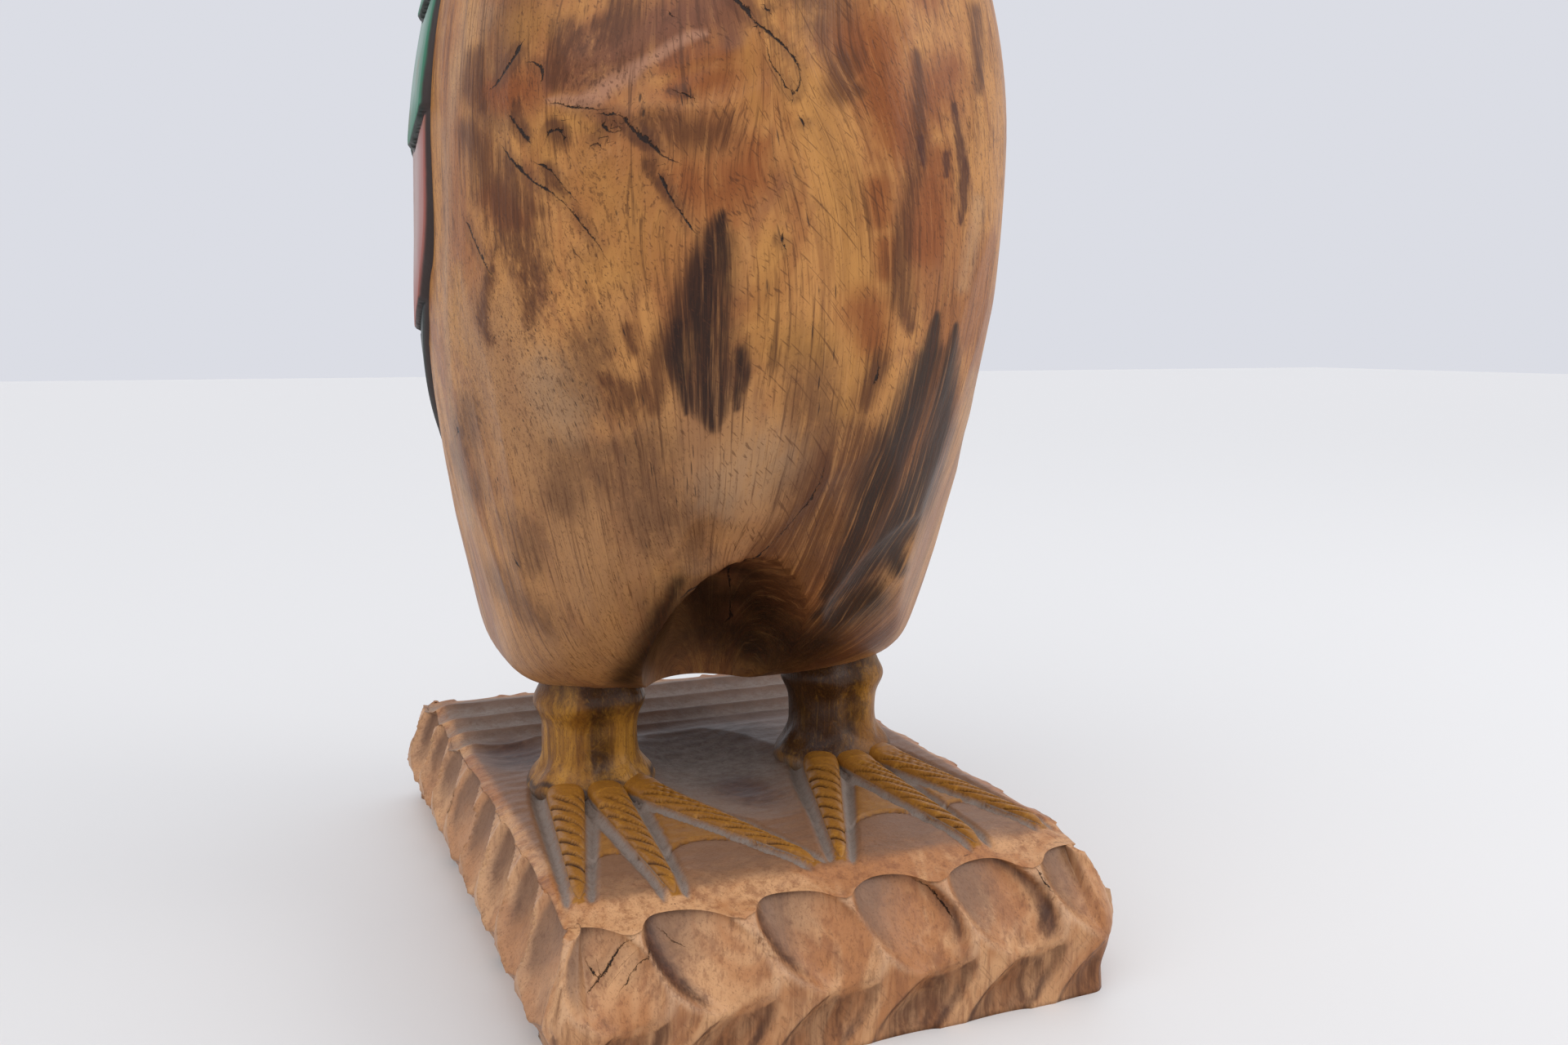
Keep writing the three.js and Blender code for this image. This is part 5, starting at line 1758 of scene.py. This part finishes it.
# The top's grid: laid between four smooth edges, its outer cells then drawn to
# the ragged edge, and lifted to the top's height. Also the top's fields.
def plinthTop(outline, normal, raggedEdge, dip):
    across, along = plinth["cellsAcross"], plinth["cellsAlong"]
    slope = lerp(plinth["sideSlope"], plinth["endSlope"], np.abs(normal[:, 1:]))
    smoothEdge = np.pad(outline - normal * (plinth["edgeInset"] + slope), ((0, 0), (0, 1)))
    offset = np.concatenate([raggedEdge[:, :2], -dip[:, None]], 1) - smoothEdge
    down = np.linspace(0, 1, along + 1)[:, None, None]
    over = np.linspace(0, 1, across + 1)[None, :, None]
    near = 1 - smooth(np.arange(along + 1), 0, plinth["drawnCells"])[:, None, None]
    nearSide = 1 - smooth(np.arange(across + 1), 0, plinth["drawnCells"])[None, :, None]
    patch = coons(smoothEdge, across, along, (1 - down, down, 1 - over, over))
    patch = patch + coons(offset, across, along, (near, near[::-1], nearSide, nearSide[:, ::-1]))
    height, fields = topHeight(patch[..., 0], patch[..., 1])
    patch[1:-1, 1:-1, 2] += height[1:-1, 1:-1]
    return patch, fields


# One closed skin: side rings from the underside to the top's edge, then a grid over the top,
# whose edge shares the last ring's points, and one point in the middle of the underside.
def makePlinth():
    across, along, rows = plinth["cellsAcross"], plinth["cellsAlong"], plinth["rowsUp"]
    _, _, perimeter = outlineAt(np.array([0.0]))
    pitch = perimeter / scoop["count"]
    radius = plinth["cornerRadius"]
    quarter = np.pi / 4 * radius
    halfFront = plinth["width"] / 2 - radius + quarter
    fullSide = plinth["depth"] - 2 * radius + 2 * quarter
    stops = np.cumsum([-halfFront, 2 * halfFront, fullSide, 2 * halfFront, fullSide])
    counts = [0, across, across + along, 2 * across + along, 2 * (across + along)]
    count = counts[-1]
    s = np.interp(np.arange(count), counts, stops)
    outline, normal, _ = outlineAt(s)
    rings, dip, onSide = plinthSide(s, outline, normal, pitch)
    patch, onTop = plinthTop(outline, normal, rings[-1], dip)

    side = rings.reshape(-1, 3)
    inner = patch[1:-1, 1:-1].reshape(-1, 3)
    points = np.concatenate([side, inner, [[0.0, 0.0, 0.0]]])
    row, column = np.meshgrid(np.arange(rows), np.arange(count), indexing="ij")
    first, following = row * count + column, row * count + (column + 1) % count
    sideQuads = np.stack([first, following, following + count, first + count], -1).reshape(-1, 4)
    number = np.zeros((along + 1, across + 1), int)
    last = rows * count
    number[1:-1, 1:-1] = len(side) + np.arange(len(inner)).reshape(along - 1, across - 1)
    number[0] = last + np.arange(across + 1)
    number[:, -1] = last + across + np.arange(along + 1)
    number[-1] = last + across + along + np.arange(across, -1, -1)
    number[:, 0] = last + (2 * across + along + np.arange(along, -1, -1)) % count
    corners = [number[:-1, :-1], number[:-1, 1:], number[1:, 1:], number[1:, :-1]]
    quads = np.concatenate([sideQuads, np.stack(corners, -1).reshape(-1, 4)])
    ring = np.arange(count)
    triangles = np.stack([np.roll(ring, -1), ring, np.full(count, len(points) - 1)], -1)

    places = np.stack([np.broadcast_to(s, rings.shape[:2]).ravel(), side[:, 2]], -1)
    onSide["crackAcross"], onSide["crackHalf"] = crackFields(places, plinth["cracks"])
    plain, flat = np.zeros((rows + 1, count)), np.zeros(patch.shape[:2])
    onTop["crackAcross"] = flat + uncracked
    fields = {"splitAcross": uncracked}
    for name in ("paintedHighlight", "char", "umberAndShade", "dust", "ochre", "shade", "shadeAndDust", "crackAcross", "crackHalf"):
        top = onTop.get(name, flat)[1:-1, 1:-1]
        fields[name] = np.concatenate([onSide.get(name, plain).ravel(), top.ravel(), [0.0]])
    addPiece("carvedPlinth", points, quads, triangles, fields, plinthWood)


makePlinth()


# One toe: superellipse rings along its line, its top cut by slanting notches that fall steeply on one
# side and rise gently on the other, as (1 - the share of the way from notch to notch)^power.
def makeToe(name, side, base, tip):
    t = np.linspace(toe["start"], 1.0, toe["rows"])[:, None]
    turn = np.linspace(0, 2 * np.pi, toe["columns"], endpoint=False)[None]
    start = np.array([side * base[0], base[1]], float)
    run = np.array([side * (tip[0] - base[0]), tip[1] - base[1]], float)
    length = np.hypot(*run)
    inRange = np.clip(t, 0, 1)
    ending = np.sqrt(1 - np.clip((t - toe["rounded"]) / (1 - toe["rounded"]), 0, 1) ** 2)
    half = toe["swell"] * lerp(toe["half"][0], toe["half"][1], inRange) * ending
    high = lerp(toe["rise"][0], toe["rise"][1], np.sqrt(inRange)) * ending
    q = half * squared(np.cos(turn), toe["squareness"])
    up = squared(np.sin(turn), toe["squareness"])
    x = start[0] + run[0] * t - run[1] / length * q
    y = start[1] + run[1] * t + run[0] / length * q

    between = np.radians(toe["notchHeading"]) - np.arctan2(run[0], -run[1])
    along = (t * length - np.minimum(1 / np.tan(between), toe["notchSlant"]) * q) / toe["notchPitch"]
    reach, wavelength, seed = toe["notchUneven"]
    along = along + reach * unevenness(np.stack([x, y, 0 * x], -1), wavelength, seed)
    cut = np.maximum(0, 1 - (along - np.floor(along)) / toe["notchShare"]) ** toe["notchPower"]
    cut = cut * smooth(up, *toe["notchHigh"])
    cut = cut * smooth(t, *toe["notchFrom"]) * (1 - smooth(t, *toe["notchTo"]))
    notched = high * up - toe["notchDepth"] * (1 - toe["notchTaper"] * inRange) * cut
    lift = np.where(up > 0, notched, toe["sunk"] * up)
    rings = np.stack([x, y, groundHeight(x, y)[0] + lift], -1)

    fields = {
        "ochre": smooth(up, *toe["ochreFrom"]),
        "notch": cut,
        "umberAndShade": smooth(t, *toe["wax"]),
        "dust": smooth(up, *toe["dust"]),
        "crackAcross": uncracked,
        "splitAcross": uncracked,
    }
    addRings(name, rings, fields, plinthWood)


for footSide, footName in ((-1, "right"), (1, "left")):
    for toeName, (toeBase, toeTip) in zip(("InnerToe", "MiddleToe", "OuterToe"), toe["runs"]):
        makeToe(footName + toeName, footSide, toeBase, toeTip)


# Eyes and the knob on the bill: small ellipsoids let into the head.

details = {
    # middle and radii of each
    "pieces": {
        "leftEye": ((34, -104, 797), (6.5, 6.5, 6.5)),
        "rightEye": ((-34, -104, 797), (6.5, 6.5, 6.5)),
        "billKnob": ((0, -142, 787), (10, 15, 10)),
    },
    "poleGap": 0.06,  # radians from a pole to its first ring
    "rings": 24,
    "columns": 36,
}


# An ellipsoid: middle plus radii times the unit sphere, in rings from pole to pole.
def makeEllipsoid(name, middle, radii):
    polar = np.linspace(details["poleGap"], np.pi - details["poleGap"], details["rings"])[:, None]
    turn = np.linspace(0, 2 * np.pi, details["columns"], endpoint=False)[None]
    unit = (np.sin(polar) * np.cos(turn), np.sin(polar) * np.sin(turn), -np.cos(polar))
    rings = np.array(middle) + np.array(radii) * np.stack(np.broadcast_arrays(*unit), -1)
    addRings(name, rings, {}, eyePaint)


for detailName, (detailMiddle, detailRadii) in details["pieces"].items():
    makeEllipsoid(detailName, detailMiddle, detailRadii)


# The floor and the light.

stage = {
    "floorHalf": 9.0,  # metres
    "floor": "#e1e0de",
    "floorRough": 0.55,
    "air": "#e0e2ea",
    "airStrength": 0.95,
    # name, degrees round from the front, degrees up, softness in
    # degrees and strength of each far soft light
    "suns": [
        ("windowLight", -50, 48, 60, 0.85),
        ("ceilingLight", 60, 72, 80, 0.5),
    ],
    # name, place, size and watts of the panel whose reflection
    # gives the wax its sheen, and what it points at
    "panels": [("sheenPanel", (1.6, -1.1, 1.2), 0.9, 9)],
    "panelsAim": (0, 0, 0.3),
}
floorHalf = stage["floorHalf"]
floorCorners = [(x * floorHalf, y * floorHalf, 0) for x, y in ((-1, -1), (1, -1), (1, 1), (-1, 1))]
floorMesh = bpy.data.meshes.new("paleFloor")
floorMesh.from_pydata(floorCorners, [], [(0, 1, 2, 3)])
floorPaint = bpy.data.materials.new("palePaintedFloor")
floorPaint.use_nodes = True
floorShader = floorPaint.node_tree.nodes["Principled BSDF"]
floorShader.inputs["Base Color"].default_value = colour(stage["floor"])
floorShader.inputs["Roughness"].default_value = stage["floorRough"]
floorMesh.materials.append(floorPaint)
floor = bpy.data.objects.new("paleFloor", floorMesh)
bpy.context.scene.collection.objects.link(floor)

air = bpy.data.worlds.new("softAir")
air.use_nodes = True
air.node_tree.nodes["Background"].inputs[0].default_value = colour(stage["air"])
air.node_tree.nodes["Background"].inputs[1].default_value = stage["airStrength"]
bpy.context.scene.world = air


# Puts a lamp in the scene, its light falling along the given direction.
def hang(lamp, direction):
    hung = bpy.data.objects.new(lamp.name, lamp)
    hung.rotation_mode = "QUATERNION"
    hung.rotation_quaternion = direction.to_track_quat("-Z", "Y")
    bpy.context.scene.collection.objects.link(hung)
    return hung


for sunName, around, up, softness, strength in stage["suns"]:
    sun = bpy.data.lights.new(sunName, "SUN")
    sun.energy = strength
    sun.angle = np.radians(softness)
    around, up = np.radians(around), np.radians(up)
    toSun = Vector((np.sin(around) * np.cos(up), -np.cos(around) * np.cos(up), np.sin(up)))
    hang(sun, -toSun)
for panelName, place, size, watts in stage["panels"]:
    panel = bpy.data.lights.new(panelName, "AREA")
    panel.size = size
    panel.energy = watts
    hang(panel, Vector(stage["panelsAim"]) - Vector(place)).location = place
bpy.context.scene.view_settings.view_transform = "Standard"
print("stage set")
